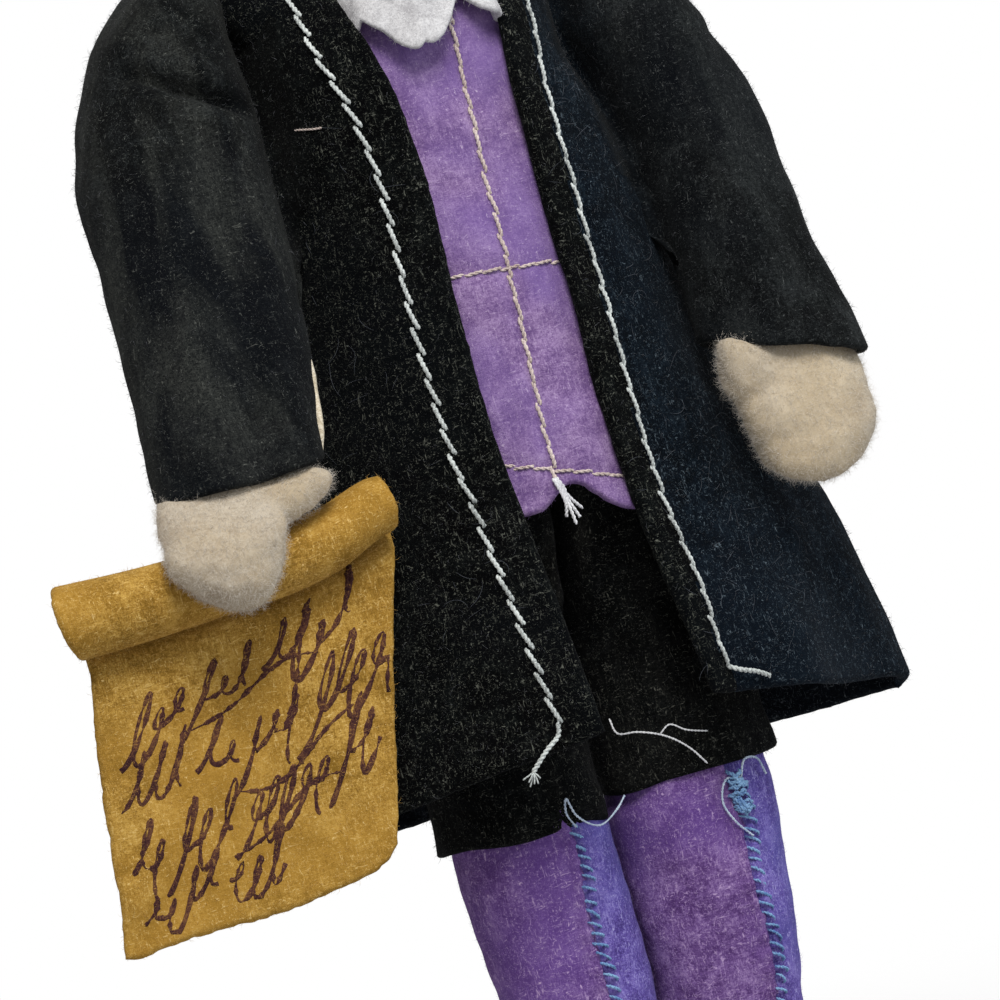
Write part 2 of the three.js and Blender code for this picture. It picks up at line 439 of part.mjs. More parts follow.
piece("queue_ribbon", placed(closed(new THREE.LatheGeometry([[2.4, -0.9], [3.2, -0.9], [3.4, 0], [3.2, 0.9], [2.4, 0.9], [2.3, 0], [2.4, -0.9]].map(([x, y]) => new THREE.Vector2(x, y)), 18)), [0, 15.75, 138.6], [Math.PI / 2, 0, 0]), felt(0x131316));

// A small bead or stitch on the face, at x and height z, standing clear of the felt.
function onFace(x, z, lift) {
  const c = (z - HEAD_Z) / HEAD_H, polar = Math.acos(c), s = Math.sin(polar);
  const az = Math.asin(x / (HEAD_W * s * (c < 0 ? 1 - 0.13 * c * c : 1)));
  const p = headPoint(polar, az, 0);
  return p.addScaledVector(V(p.x / HEAD_W ** 2, p.y / HEAD_D ** 2, (p.z - HEAD_Z) / HEAD_H ** 2).normalize(), lift);
}
for (const [name, x] of [["right", -5.6], ["left", 5.6]]) {
  const p = onFace(x, 156.0, 0.95);
  piece("eye_" + name, closed(placed(new THREE.SphereGeometry(1, 10, 6), [p.x, p.y, p.z], [0, 0, rad(x * 3.4)], [1.5, 0.7, 1.6])), new THREE.MeshStandardMaterial({ color: 0x2b2320, roughness: 0.3, metalness: 0 }));
}
const nosePoint = onFace(0, 150.6, 1.75);
piece("nose", closed(placed(new THREE.SphereGeometry(1, 10, 6), [0, nosePoint.y, nosePoint.z], [0, 0, 0], [1.7, 1.5, 2.2])), felt(SKIN));
const mouth = [];
for (let i = 0; i <= 8; i++) { const x = mix(-3.0, 3.0, i / 8); mouth.push(onFace(x, 144.7 + 0.05 * x * x, 0.6)); }
piece("mouth_stitch", thread(mouth, 0.35, 5, 10), felt(0xa85a50));

// sewn eye on the crown for hanging
piece("hanging_eye", placed(closed(new THREE.TorusGeometry(EYE_RING, EYE_THREAD, 6, 24)), [0, 0, EYE_Z], [Math.PI / 2, 0, 0]), felt(0x1c1c20));

export default doll;
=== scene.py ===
import math
import bpy
import bmesh
import numpy as np
from mathutils import Vector, Matrix


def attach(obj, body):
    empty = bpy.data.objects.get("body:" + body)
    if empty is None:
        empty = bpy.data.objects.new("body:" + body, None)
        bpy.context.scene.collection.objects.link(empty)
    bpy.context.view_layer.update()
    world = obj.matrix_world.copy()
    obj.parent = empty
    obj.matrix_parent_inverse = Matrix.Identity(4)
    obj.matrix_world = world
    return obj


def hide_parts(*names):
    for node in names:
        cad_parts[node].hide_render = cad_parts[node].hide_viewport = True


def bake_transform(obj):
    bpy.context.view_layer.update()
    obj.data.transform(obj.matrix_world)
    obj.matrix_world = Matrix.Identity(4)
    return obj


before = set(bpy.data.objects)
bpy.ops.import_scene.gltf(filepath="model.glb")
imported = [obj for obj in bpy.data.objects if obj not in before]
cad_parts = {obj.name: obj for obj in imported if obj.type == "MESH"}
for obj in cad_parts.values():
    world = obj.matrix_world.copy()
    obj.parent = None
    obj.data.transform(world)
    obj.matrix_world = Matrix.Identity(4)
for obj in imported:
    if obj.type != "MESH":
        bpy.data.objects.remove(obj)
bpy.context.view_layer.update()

# Heights below are millimetres above the soles, as the doll is dressed; the row's origin is the hanging eye.
EYE = 181.9
FELT = 1.5
THIN = 1.2
SEAM_Y = 3.0
START = 120.0
TOP = 136.6
TIP = 135.4
ARMHOLE_X = 17.9
SHOULDER_Z = 127.0
SHOULDER_R = 9.3
HIP_Z, HIP_Y, HIP_R = 54.5, -1.0, 8.6
LEG_X, BREECHES_X, BREECHES_HEM = 9.0, 9.3, 38.7
HEAD_Z, HEAD_W, HEAD_D, HEAD_H, HAIR = 155.5, 15.5, 15.8, 19.0, 2.4
ROLL_R = 3.1
ROLL_A = np.array([-56.9, -16.2, 71.7])
ROLL_B = np.array([-19.8, -16.2, 75.6])
SHEET_Y = -13.1

COAT_HALF_WIDTH = [[41, 37.8], [60, 32.8], [80, 27.4], [100, 22.0], [112, 18.5], [118, 17.4], [140, 17.4]]
COAT_FRONT = [[41, 25.5], [70, 22.5], [100, 20.0], [118, 18.2], [127, 17.6], [140, 17.6]]
COAT_BACK = [[41, 17.0], [70, 13.0], [100, 10.6], [118, 10.0], [127, 9.6], [140, 9.6]]
COAT_P = [[41, 2.0], [95, 2.1], [118, 3.0], [140, 3.0]]
COAT_Q = [[41, 1.05], [85, 1.15], [118, 2.0], [140, 2.0]]
EDGE_RIGHT = [[41, 4.2], [48, 4.4], [60, 5.0], [71, 5.7], [81, 6.3], [93, 6.1], [107, 5.5], [115, 5.9], [121, 7.0], [128, 8.7], [140, 9.3]]
EDGE_LEFT = [[41, 10.4], [48, 9.6], [58, 8.0], [69, 6.7], [81, 6.3], [94, 6.7], [103, 6.7], [113, 6.9], [121, 7.9], [130, 8.5], [140, 8.5]]
STOCKING_W = [[9, 5.6], [14, 6.3], [19, 7.2], [30, 7.9], [36, 8.2], [40, 8.0], [44, 7.2], [60, 6.7]]
WAISTCOAT_INSET = FELT + 0.4


# ------------------------------------------------------------------ numbers
def M(p):
    """Millimetres above the soles to metres in the row's frame."""
    p = np.array(p, float)
    p[..., 2] -= EYE
    return p / 1000.0


def V(p):
    return tuple(float(v) for v in M(p))


def along(table, z):
    t = np.asarray(table, float)
    zs, vs = t[:, 0], t[:, 1]
    z = np.clip(np.asarray(z, float), zs[0], zs[-1])
    h = np.diff(zs)
    d = np.diff(vs) / h
    m = np.zeros(len(zs))
    prod = d[:-1] * d[1:]
    total = np.where(prod > 0, d[:-1] + d[1:], 1.0)
    m[1:-1] = np.where(prod > 0, 2 * prod / total, 0.0)
    i = np.clip(np.searchsorted(zs, z, side="left") - 1, 0, len(zs) - 2)
    u = (z - zs[i]) / h[i]
    return ((2 * u**3 - 3 * u**2 + 1) * vs[i] + (u**3 - 2 * u**2 + u) * h[i] * m[i]
            + (3 * u**2 - 2 * u**3) * vs[i + 1] + (u**3 - u**2) * h[i] * m[i + 1])


def mix(a, b, t):
    return a + (b - a) * t


def step01(a, b, v):
    t = np.clip((np.asarray(v, float) - a) / (b - a), 0, 1)
    return t * t * (3 - 2 * t)


def unit(v):
    return v / np.maximum(np.linalg.norm(v, axis=-1, keepdims=True), 1e-9)


def waves(seed, scale, n=16):
    """A smooth random field in space, about 1 strong, with folds about this many millimetres apart."""
    r = np.random.default_rng(seed)
    k = unit(r.normal(size=(n, 3))) * (2 * math.pi / scale) * r.uniform(0.6, 1.5, size=(n, 1))
    ph = r.uniform(0, 2 * math.pi, n)

    def f(p):
        p = np.asarray(p, float)
        return np.sin(p.reshape(-1, 3) @ k.T + ph).sum(1).reshape(p.shape[:-1]) / math.sqrt(n / 2)
    return f


def spaced(n, length, r):
    """Steps from 0 to 1 over a length, closer at both ends so that a cut edge can be rounded."""
    ends = np.array([0, 0.06, 0.2, 0.45, 0.8, 1.25]) * r / length
    return np.concatenate([ends, np.linspace(ends[-1] * 1.6, 1 - ends[-1] * 1.6, max(2, n)), 1 - ends[::-1]])


# ------------------------------------------------------------------ meshes
def add(name, verts_mm, faces, mat, smooth=True, outward=False, metres=False):
    me = bpy.data.meshes.new(name)
    v = np.asarray(verts_mm, float) if metres else M(verts_mm)
    me.from_pydata(v.tolist(), [], faces if isinstance(faces, list) else faces.tolist())
    if outward:
        bm = bmesh.new()
        bm.from_mesh(me)
        bmesh.ops.recalc_face_normals(bm, faces=bm.faces)
        bm.to_mesh(me)
        bm.free()
    me.update()
    if smooth:
        me.shade_smooth()
    ob = bpy.data.objects.new(name, me)
    bpy.context.scene.collection.objects.link(ob)
    me.materials.append(mat)
    return ob


def grid_faces(nu, nv, wrap=False, base=0, flip=False):
    i = np.arange(nu if wrap else nu - 1)
    j = np.arange(nv - 1)
    a, b = np.meshgrid(i, j, indexing="ij")
    c = (a + 1) % nu
    f = np.stack([a * nv + b, c * nv + b, c * nv + b + 1, a * nv + b + 1], -1).reshape(-1, 4) + base
    return f[:, ::-1] if flip else f


def normals_of(grid, wrap=False):
    if wrap:
        du = np.roll(grid, -1, 0) - np.roll(grid, 1, 0)
    else:
        du = np.gradient(grid, axis=0)
    return unit(np.cross(du, np.gradient(grid, axis=1)))


def thick_sheet(name, mid, half, mat, outside, bulge=None, rough=0.0, seed=1):
    """A sheet of felt with rounded cut edges about a middle surface; outside(p, n) says which way the face side looks."""
    nu, nv, _ = mid.shape
    n = normals_of(mid)
    if np.mean(outside(mid, n)) < 0:
        n = -n
        turned = True
    else:
        turned = False
    lu = np.concatenate([np.zeros((1, nv)), np.cumsum(np.linalg.norm(np.diff(mid, axis=0), axis=-1), 0)])
    lv = np.concatenate([np.zeros((nu, 1)), np.cumsum(np.linalg.norm(np.diff(mid, axis=1), axis=-1), 1)], 1)
    d = np.minimum(np.minimum(lu, lu[-1:] - lu), np.minimum(lv, lv[:, -1:] - lv))
    r = np.broadcast_to(np.asarray(half, float), d.shape)
    h = r * np.sqrt(np.clip(1 - (1 - np.clip(d / r, 0, 1)) ** 2, 0.012, 1))
    mid = mid + n * (0 if bulge is None else bulge)[..., None] if bulge is not None else mid
    if rough:
        mid = mid + np.stack([waves(seed + k, 1.6)(mid) for k in range(3)], -1) * (rough * np.exp(-d / 1.2))[..., None]
    front = mid + n * h[..., None]
    back = mid - n * h[..., None]
    verts = np.concatenate([front.reshape(-1, 3), back.reshape(-1, 3)])
    size = nu * nv
    f = grid_faces(nu, nv, flip=turned)
    g = grid_faces(nu, nv, base=size, flip=not turned)
    ring = [i * nv for i in range(nu)] + [(nu - 1) * nv + j for j in range(1, nv)] + [i * nv + nv - 1 for i in range(nu - 2, -1, -1)] + [j for j in range(nv - 2, 0, -1)]
    ring = np.array(ring)
    nxt = np.roll(ring, -1)
    side = np.stack([ring, ring + size, nxt + size, nxt], -1)
    ob = add(name, verts, np.concatenate([f, g, side]), mat, outward=True)
    area = 0.5 * (np.linalg.norm(np.cross(mid[1:, 1:] - mid[:-1, :-1], mid[1:, :-1] - mid[:-1, 1:]), axis=-1)).sum() * 1e-6
    ob["face_quads"] = len(f)
    return ob, area, lu[-1].max() * 1e-3, lv[:, -1].max() * 1e-3


def frames(path):
    t = unit(np.gradient(path, axis=0))
    ref = np.array([0.13, 0.31, 0.94])
    a = unit(np.cross(t, ref))
    # carried along, so that a tube never twists
    for i in range(1, len(path)):
        v = a[i - 1] - t[i] * np.dot(a[i - 1], t[i])
        n = np.linalg.norm(v)
        a[i] = v / n if n > 1e-6 else a[i]
    return t, a, np.cross(t, a)


def tube_arrays(path, radius, sides=6):
    """Closed tube with pointed-in ends: vertices and faces."""
    path = np.asarray(path, float)
    n = len(path)
    t, a, b = frames(path)
    ang = np.arange(sides) * 2 * math.pi / sides
    r = np.broadcast_to(np.asarray(radius, float), (n,))
    ring = path[:, None] + r[:, None, None] * (np.cos(ang)[None, :, None] * a[:, None] + np.sin(ang)[None, :, None] * b[:, None])
    v = np.concatenate([ring.reshape(-1, 3), [path[0] - t[0] * r[0] * 0.5], [path[-1] + t[-1] * r[-1] * 0.5]])
    f = []
    for i in range(n - 1):
        for k in range(sides):
            q = (k + 1) % sides
            f.append([i * sides + k, i * sides + q, (i + 1) * sides + q, (i + 1) * sides + k])
    for k in range(sides):
        q = (k + 1) % sides
        f.append([n * sides, q, k])
        f.append([n * sides + 1, (n - 1) * sides + k, (n - 1) * sides + q])
    return v, f


def join_arrays(parts):
    verts, faces, base = [], [], 0
    for v, f in parts:
        verts.append(v)
        faces += [[i + base for i in q] for q in f]
        base += len(v)
    return np.concatenate(verts), faces


def spline(points, n):
    """Smooth curve through points."""
    p = np.asarray(points, float)
    d = np.concatenate([[0], np.cumsum(np.linalg.norm(np.diff(p, axis=0), axis=1))])
    m = np.gradient(p, d, axis=0)
    s = np.linspace(0, d[-1], n)
    i = np.clip(np.searchsorted(d, s) - 1, 0, len(d) - 2)
    h = (d[i + 1] - d[i])[:, None]
    u = ((s - d[i]) / h[:, 0])[:, None]
    return (2 * u**3 - 3 * u**2 + 1) * p[i] + (u**3 - 2 * u**2 + u) * h * m[i] + (3 * u**2 - 2 * u**3) * p[i + 1] + (u**3 - u**2) * h * m[i + 1]


def plied(path, radius, pitch=1.3, phase=0.0, sides=6, plies=2, taper=0.0):
    """Twisted sewing thread along a path: its plies as closed tubes."""
    path = np.asarray(path, float)
    t, a, b = frames(path)
    s = np.concatenate([[0], np.cumsum(np.linalg.norm(np.diff(path, axis=0), axis=1))])
    out = []
    fade = np.ones(len(path)) if not taper else np.clip(np.minimum(s, s[-1] - s) / taper, 0.35, 1)
    for k in range(plies):
        ang = 2 * math.pi * (s / pitch + k / plies) + phase
        off = radius * 0.5
        p = path + (off * fade)[:, None] * (np.cos(ang)[:, None] * a + np.sin(ang)[:, None] * b)
        out.append(tube_arrays(p, radius * 0.58 * fade, sides))
    return out


def lofted(name, rings, mat, close=True):
    """Closed body from rings (n, around, 3), each end drawn together at its middle."""
    n, m, _ = rings.shape
    v = np.concatenate([rings.reshape(-1, 3), [rings[0].mean(0)], [rings[-1].mean(0)]])
    i, k = np.meshgrid(np.arange(n - 1), np.arange(m), indexing="ij")
    q = (k + 1) % m
    f = np.stack([i * m + k, i * m + q, (i + 1) * m + q, (i + 1) * m + k], -1).reshape(-1, 4).tolist()
    for k in range(m):
        q = (k + 1) % m
        f.append([n * m, q, k])
        f.append([n * m + 1, (n - 1) * m + k, (n - 1) * m + q])
    return add(name, v, f, mat, outward=True)


def fuzz(name, src, count, length, radius, mat, seed, keep=None, lean=1.0, curl=0.6, comb=None):
    """Loose fibres of felt standing out of a piece: short tapered hairs, each a closed body."""
    r = np.random.default_rng(seed)
    me = src.data
    me.calc_loop_triangles()
    nt = len(me.loop_triangles)
    tri = np.empty(nt * 3, np.int32)
    me.loop_triangles.foreach_get("vertices", tri)
    tri = tri.reshape(-1, 3)
    co = np.empty(len(me.vertices) * 3, np.float32)
    me.vertices.foreach_get("co", co)
    co = co.reshape(-1, 3).astype(float) * 1000.0
    a, b, c = co[tri[:, 0]], co[tri[:, 1]], co[tri[:, 2]]
    cr = np.cross(b - a, c - a)
    area = np.linalg.norm(cr, axis=1) * 0.5
    nrm = unit(cr)
    w = area.copy()
    if keep is not None:
        mid = (a + b + c) / 3
        mid[:, 2] += EYE
        w = w * keep(mid, nrm)
    if w.sum() <= 0:
        return None
    pick = r.choice(nt, size=count, p=w / w.sum())
    u, v = r.random(count), r.random(count)
    flip = u + v > 1
    u[flip], v[flip] = 1 - u[flip], 1 - v[flip]
    p = a[pick] + u[:, None] * (b - a)[pick] + v[:, None] * (c - a)[pick]
    n = nrm[pick]
    tang = r.normal(size=(count, 3))
    if comb is not None:
        tang = tang * 0.6 + comb(p + np.array([0, 0, EYE]), n)
    tang = unit(tang - n * (tang * n).sum(1, keepdims=True))
    side = np.cross(n, tang)
    ln = length * r.gamma(3.0, 1 / 3.0, size=count).clip(0.25, 2.4)
    le = lean * r.uniform(0.4, 1.5, count)
    d0 = unit(n + tang * le[:, None] * 0.5)
    d1 = unit(n * 0.55 + tang * le[:, None] + side * (curl * r.normal(size=count))[:, None])
    base = p - n * 0.12
    midp = base + d0 * (ln * 0.5)[:, None]
    tip = midp + d1 * (ln * 0.55)[:, None]
    rad = radius * r.uniform(0.7, 1.3, count)
    e1 = unit(np.cross(d0, side + 0.01))
    e2 = np.cross(d0, e1)
    rings = []
    for k in range(3):
        ang = 2 * math.pi * k / 3
        rings.append(e1 * math.cos(ang) + e2 * math.sin(ang))
    vs = np.empty((count, 7, 3))
    for k in range(3):
        vs[:, k] = base + rings[k] * rad[:, None]
        vs[:, 3 + k] = midp + rings[k] * (rad * 0.85)[:, None]
    vs[:, 6] = tip
    o = (np.arange(count) * 7)[:, None]
    quads = np.concatenate([o + np.array([[k, (k + 1) % 3, 3 + (k + 1) % 3, 3 + k]]) for k in range(3)])
    tris = np.concatenate([o + np.array([[3 + k, 3 + (k + 1) % 3, 6]]) for k in range(3)] + [o + np.array([[2, 1, 0]])])
    return add(name, vs.reshape(-1, 3) / 1000.0, quads.tolist() + tris.tolist(), mat, metres=True)


# ------------------------------------------------------------------ materials
def srgb(r, g, b):
    return tuple(((c / 255) / 12.92 if c / 255 <= 0.04045 else ((c / 255 + 0.055) / 1.055) ** 2.4) for c in (r, g, b))


def base_material(name, rough=0.95, spec=0.12, sheen=0.0, sheen_rough=0.5, tint=(1, 1, 1), metal=0.0):
    m = bpy.data.materials.new(name)
    m.use_nodes = True
    nt = m.node_tree
    b = nt.nodes["Principled BSDF"]
    b.inputs["Roughness"].default_value = rough
    b.inputs["Specular IOR Level"].default_value = spec
    b.inputs["Metallic"].default_value = metal
    b.inputs["Sheen Weight"].default_value = sheen
    b.inputs["Sheen Roughness"].default_value = sheen_rough
    b.inputs["Sheen Tint"].default_value = (*tint, 1)
    return m, nt, b


def node(nt, kind, **kw):
    n = nt.nodes.new(kind)
    for k, v in kw.items():
        if k in n.inputs:
            n.inputs[k].default_value = v
        else:
            setattr(n, k, v)
    return n


def noise(nt, coord, scale, detail=3.0, rough=0.6, distort=0.0, stretch=None, turn=(0, 0, 0)):
    if stretch is not None:
        mp = nt.nodes.new("ShaderNodeMapping")
        mp.inputs["Scale"].default_value = stretch
        mp.inputs["Rotation"].default_value = turn
        nt.links.new(coord, mp.inputs["Vector"])
        coord = mp.outputs["Vector"]
    n = nt.nodes.new("ShaderNodeTexNoise")
    n.inputs["Scale"].default_value = scale
    n.inputs["Detail"].default_value = detail
    n.inputs["Roughness"].default_value = rough
    n.inputs["Distortion"].default_value = distort
    nt.links.new(coord, n.inputs["Vector"])
    return n.outputs["Fac"]


def ramp(nt, fac, stops):
    r = nt.nodes.new("ShaderNodeValToRGB")
    e = r.color_ramp.elements
    while len(e) < len(stops):
        e.new(0.5)
    for k, (pos, col) in enumerate(stops):
        e[k].position = pos
        e[k].color = (*col, 1) if len(col) == 3 else col
    nt.links.new(fac, r.inputs["Fac"])
    return r.outputs["Color"]


def blend_colour(nt, fac, a, b, kind="MIX"):
    n = nt.nodes.new("ShaderNodeMix")
    n.data_type = "RGBA"
    n.blend_type = kind
    for sock, val in ((0, fac), (6, a), (7, b)):
        if hasattr(val, "is_linked") or hasattr(val, "links"):
            nt.links.new(val, n.inputs[sock])
        elif sock == 0:
            n.inputs[0].default_value = val
        else:
            n.inputs[sock].default_value = (*val, 1)
    return n.outputs[2]


def maths(nt, op, a, b=0.0):
    n = nt.nodes.new("ShaderNodeMath")
    n.operation = op
    for k, val in ((0, a), (1, b)):
        if hasattr(val, "links"):
            nt.links.new(val, n.inputs[k])
        else:
            n.inputs[k].default_value = val
    return n.outputs[0]


def felt(name, dark, mid, light, fleck=None, fleck_from=0.66, fleck_to=0.78, grain=1.0, bump=0.6, sheen=0.1, tint=(1, 1, 1), second=None, second_scale=60, sheen_rough=0.5, inner=None, painted_highlight=None):
    """Pressed felt: matted fibres running every way, cloudy colour and pale fibres caught in it."""
    m, nt, b = base_material(name, 0.96, 0.06, sheen, sheen_rough, tint)
    tc = nt.nodes.new("ShaderNodeTexCoord").outputs["Object"]
    f1 = noise(nt, tc, 1.0, 4, 0.65, 1.5, (5200 * grain, 5200 * grain, 1300 * grain), (0.5, 0.2, 0.3))
    f2 = noise(nt, tc, 1.0, 4, 0.65, 1.5, (1300 * grain, 5200 * grain, 5200 * grain), (0.2, 0.6, 0.9))
    f3 = noise(nt, tc, 1.0, 4, 0.65, 1.5, (4600 * grain, 1500 * grain, 4800 * grain), (0.9, 0.4, 0.1))
    fibres = maths(nt, "MULTIPLY", maths(nt, "ADD", maths(nt, "ADD", f1, f2), f3), 0.3333)
    cloud = noise(nt, tc, 300, 4, 0.6, 0.4)
    tone = maths(nt, "ADD", maths(nt, "MULTIPLY", fibres, 0.72), maths(nt, "MULTIPLY", cloud, 0.28))
    col = ramp(nt, tone, [(0.435, dark), (0.5, mid), (0.57, light)])
    if second is not None:
        wide = noise(nt, tc, second_scale, 2, 0.5, 0.3)
        col = blend_colour(nt, maths(nt, "MULTIPLY", ramp(nt, wide, [(0.42, (0, 0, 0)), (0.62, (1, 1, 1))]), 0.6), col, second)
    if painted_highlight is not None:
        # painted highlight: lighter streaks, stretched up and down, stand in for light catching the folds
        highlight_noise = noise(nt, tc, 1.0, 3, 0.55, 0.25, (190, 190, 30))
        highlight_amount = maths(nt, "MULTIPLY", ramp(nt, highlight_noise, [(0.44, (0, 0, 0)), (0.74, (0.85, 0.85, 0.85))]), ramp(nt, fibres, [(0.44, (0.25, 0.25, 0.25)), (0.54, (1, 1, 1))]))
        col = blend_colour(nt, highlight_amount, col, painted_highlight)
    if inner is not None:
        # near the armhole the same felt as the coat's front
        sep = nt.nodes.new("ShaderNodeSeparateXYZ")
        nt.links.new(tc, sep.inputs[0])
        near = nt.nodes.new("ShaderNodeMapRange")
        near.interpolation_type = "SMOOTHSTEP"
        near.inputs["From Min"].default_value = 0.0165
        near.inputs["From Max"].default_value = 0.0215
        nt.links.new(maths(nt, "ABSOLUTE", sep.outputs[0]), near.inputs["Value"])
        col = blend_colour(nt, near.outputs["Result"], ramp(nt, tone, [(0.435, inner[0]), (0.5, inner[1]), (0.57, inner[2])]), col)
    if fleck is not None:
        longest = maths(nt, "MAXIMUM", maths(nt, "MAXIMUM", f1, f2), f3)
        amount = ramp(nt, longest, [(fleck_from, (0, 0, 0)), (fleck_to, (1, 1, 1))])
        col = blend_colour(nt, amount, col, fleck)
    nt.links.new(col, b.inputs["Base Color"])
    bp = nt.nodes.new("ShaderNodeBump")
    bp.inputs["Strength"].default_value = bump
    bp.inputs["Distance"].default_value = 0.00028
    nt.links.new(tone, bp.inputs["Height"])
    nt.links.new(bp.outputs["Normal"], b.inputs["Normal"])
    return m


def thread_mat(name, dark, light, rough=0.6, spec=0.3, sheen=0.1):
    m, nt, b = base_material(name, rough, spec, sheen, 0.4)
    tc = nt.nodes.new("ShaderNodeTexCoord").outputs["Object"]
    f = noise(nt, tc, 5200, 3, 0.6, 1.0)
    w = noise(nt, tc, 420, 2, 0.5)
    col = ramp(nt, maths(nt, "ADD", maths(nt, "MULTIPLY", f, 0.65), maths(nt, "MULTIPLY", w, 0.35)), [(0.38, dark), (0.6, light)])
    nt.links.new(col, b.inputs["Base Color"])
    bp = nt.nodes.new("ShaderNodeBump")
    bp.inputs["Strength"].default_value = 0.4
    bp.inputs["Distance"].default_value = 0.0001
    nt.links.new(f, bp.inputs["Height"])
    nt.links.new(bp.outputs["Normal"], b.inputs["Normal"])
    return m


def plain(name, col, rough=0.9, spec=0.1, sheen=0.2, metal=0.0):
    m, nt, b = base_material(name, rough, spec, sheen, 0.5, (1, 1, 1), metal)
    b.inputs["Base Color"].default_value = (*col, 1)
    return m


COAT_TONES = srgb(1, 1, 2), srgb(3, 4, 5), srgb(14, 17, 17)
# the navy tones are painted cool light: a blue-tinted copy of the coat felt for the coat's left front, which faces the
# bluish fill, and for the left sleeve near its armhole
COOL_LIGHT_TONES = srgb(1, 4, 8), srgb(4, 10, 18), srgb(17, 27, 36)
COAT_MAT = felt("coat_felt", *COAT_TONES, srgb(98, 100, 92), 0.615, 0.705, 0.6, 0.9, 0.03, srgb(170, 175, 175), srgb(6, 9, 13), 34)
COAT_COOL_LIGHT_MAT = felt("coat_felt_cool_light", *COOL_LIGHT_TONES, srgb(94, 106, 114), 0.62, 0.71, 0.6, 0.9, 0.04, srgb(160, 175, 190), srgb(9, 18, 28), 34)
COAT_BACK_MAT = felt("coat_felt_back", srgb(3, 5, 8), srgb(10, 14, 18), srgb(26, 31, 36), srgb(92, 97, 100), 0.61, 0.74, 0.6, 0.9, 0.04, srgb(165, 175, 185), srgb(8, 13, 20), 34)
SLEEVE_TONES = srgb(5, 6, 7), srgb(13, 15, 16), srgb(33, 36, 37)
# each sleeve's last colour is a painted highlight of light along its folds
SLEEVE_MATS = {
    "right": felt("sleeve_felt_right", *SLEEVE_TONES, srgb(116, 118, 112), 0.63, 0.80, 0.72, 0.9, 0.05, srgb(178, 180, 176), srgb(8, 11, 17), 40, inner=COAT_TONES, painted_highlight=srgb(58, 60, 57)),
    "left": felt("sleeve_felt_left", *SLEEVE_TONES, srgb(114, 117, 116), 0.63, 0.83, 0.72, 0.9, 0.05, srgb(175, 180, 182), srgb(8, 12, 18), 40, inner=COOL_LIGHT_TONES, painted_highlight=srgb(46, 49, 49)),
}
# the breeches' last colour is a painted highlight of light along their folds
BREECHES_MAT = felt("breeches_felt", srgb(2, 3, 3), srgb(6, 7, 8), srgb(18, 20, 20), srgb(94, 94, 87), 0.62, 0.71, 0.6, 0.9, 0.03, srgb(150, 150, 160), painted_highlight=srgb(31, 31, 29))
WAIST_MAT = felt("waistcoat_felt", srgb(102, 76, 126), srgb(131, 104, 151), srgb(160, 134, 178), srgb(216, 198, 222), 0.635, 0.80, 0.72, 0.7, 0.05, srgb(225, 205, 240), srgb(122, 97, 160), 70)
STOCKING_MAT = felt("stocking_felt", srgb(81, 53, 107), srgb(109, 79, 137), srgb(143, 115, 168), srgb(190, 164, 203), 0.60, 0.73, 0.6, 0.7, 0.05, srgb(215, 195, 240), srgb(100, 70, 142), 60)
STOCKING_BLUE_MAT = felt("stocking_felt_blue", srgb(72, 57, 124), srgb(101, 85, 161), srgb(133, 120, 190), srgb(176, 172, 216), 0.605, 0.74, 0.6, 0.7, 0.05, srgb(205, 200, 245), srgb(86, 84, 156), 60)
HAND_MAT = felt("hand_felt", srgb(162, 148, 131), srgb(180, 168, 151), srgb(197, 187, 172), srgb(224, 218, 208), 0.66, 0.86, 0.85, 0.5, 0.1, srgb(245, 240, 235), srgb(190, 171, 138), 45)
WHITE_MAT = felt("jabot_felt", srgb(166, 164, 167), srgb(189, 188, 190), srgb(210, 209, 211), srgb(234, 234, 236), 0.65, 0.85, 0.75, 0.55, 0.1)
MUSTARD_MAT = felt("scroll_felt", srgb(128, 95, 35), srgb(166, 127, 56), srgb(199, 160, 82), srgb(246, 220, 158), 0.615, 0.79, 0.72, 0.8, 0.05, srgb(255, 225, 170), srgb(170, 128, 52), 55)
SKIN_MAT = felt("face_felt", srgb(206, 168, 140), srgb(226, 190, 162), srgb(240, 210, 186), None, grain=1.0, bump=0.45, sheen=0.1, tint=srgb(255, 235, 220), second=srgb(230, 186, 160), second_scale=60)
LINING_MAT = felt("arm_lining_felt", srgb(180, 166, 140), srgb(212, 200, 176), srgb(236, 228, 210), None, grain=0.8, bump=0.7, sheen=0.1)
SHOE_MAT = felt("shoe_felt", srgb(6, 6, 7), srgb(15, 15, 17), srgb(28, 28, 31), srgb(70, 70, 74), 0.66, 0.84, 1.0, 0.5, 0.06, srgb(170, 170, 185))
SOLE_MAT = felt("sole_felt", srgb(34, 24, 18), srgb(52, 38, 30), srgb(74, 56, 44), None, grain=0.8, bump=0.6, sheen=0.05)
RIBBON_MAT = thread_mat("ribbon_satin", srgb(10, 10, 13), srgb(30, 30, 36), 0.45, 0.4, 0.2)
SILVER_MAT = thread_mat("silver_thread", srgb(128, 133, 132), srgb(226, 232, 230), 0.5, 0.35, 0.1)
CREAM_MAT = thread_mat("cream_thread", srgb(166, 147, 140), srgb(226, 212, 205), 0.55, 0.3, 0.1)
BLUE_MAT = thread_mat("blue_thread", srgb(70, 108, 166), srgb(142, 182, 218), 0.55, 0.3, 0.1)
PALE_BLUE_MAT = thread_mat("pale_blue_thread", srgb(140, 160, 190), srgb(206, 218, 232), 0.55, 0.3, 0.1)
WHITE_THREAD_MAT = thread_mat("white_thread", srgb(190, 190, 196), srgb(240, 240, 242), 0.55, 0.3, 0.1)
ROSE_MAT = thread_mat("rose_thread", srgb(140, 70, 62), srgb(182, 104, 94), 0.6, 0.25, 0.1)
BROW_MAT = thread_mat("brow_thread", srgb(74, 66, 60), srgb(120, 110, 100), 0.7, 0.2, 0.1)
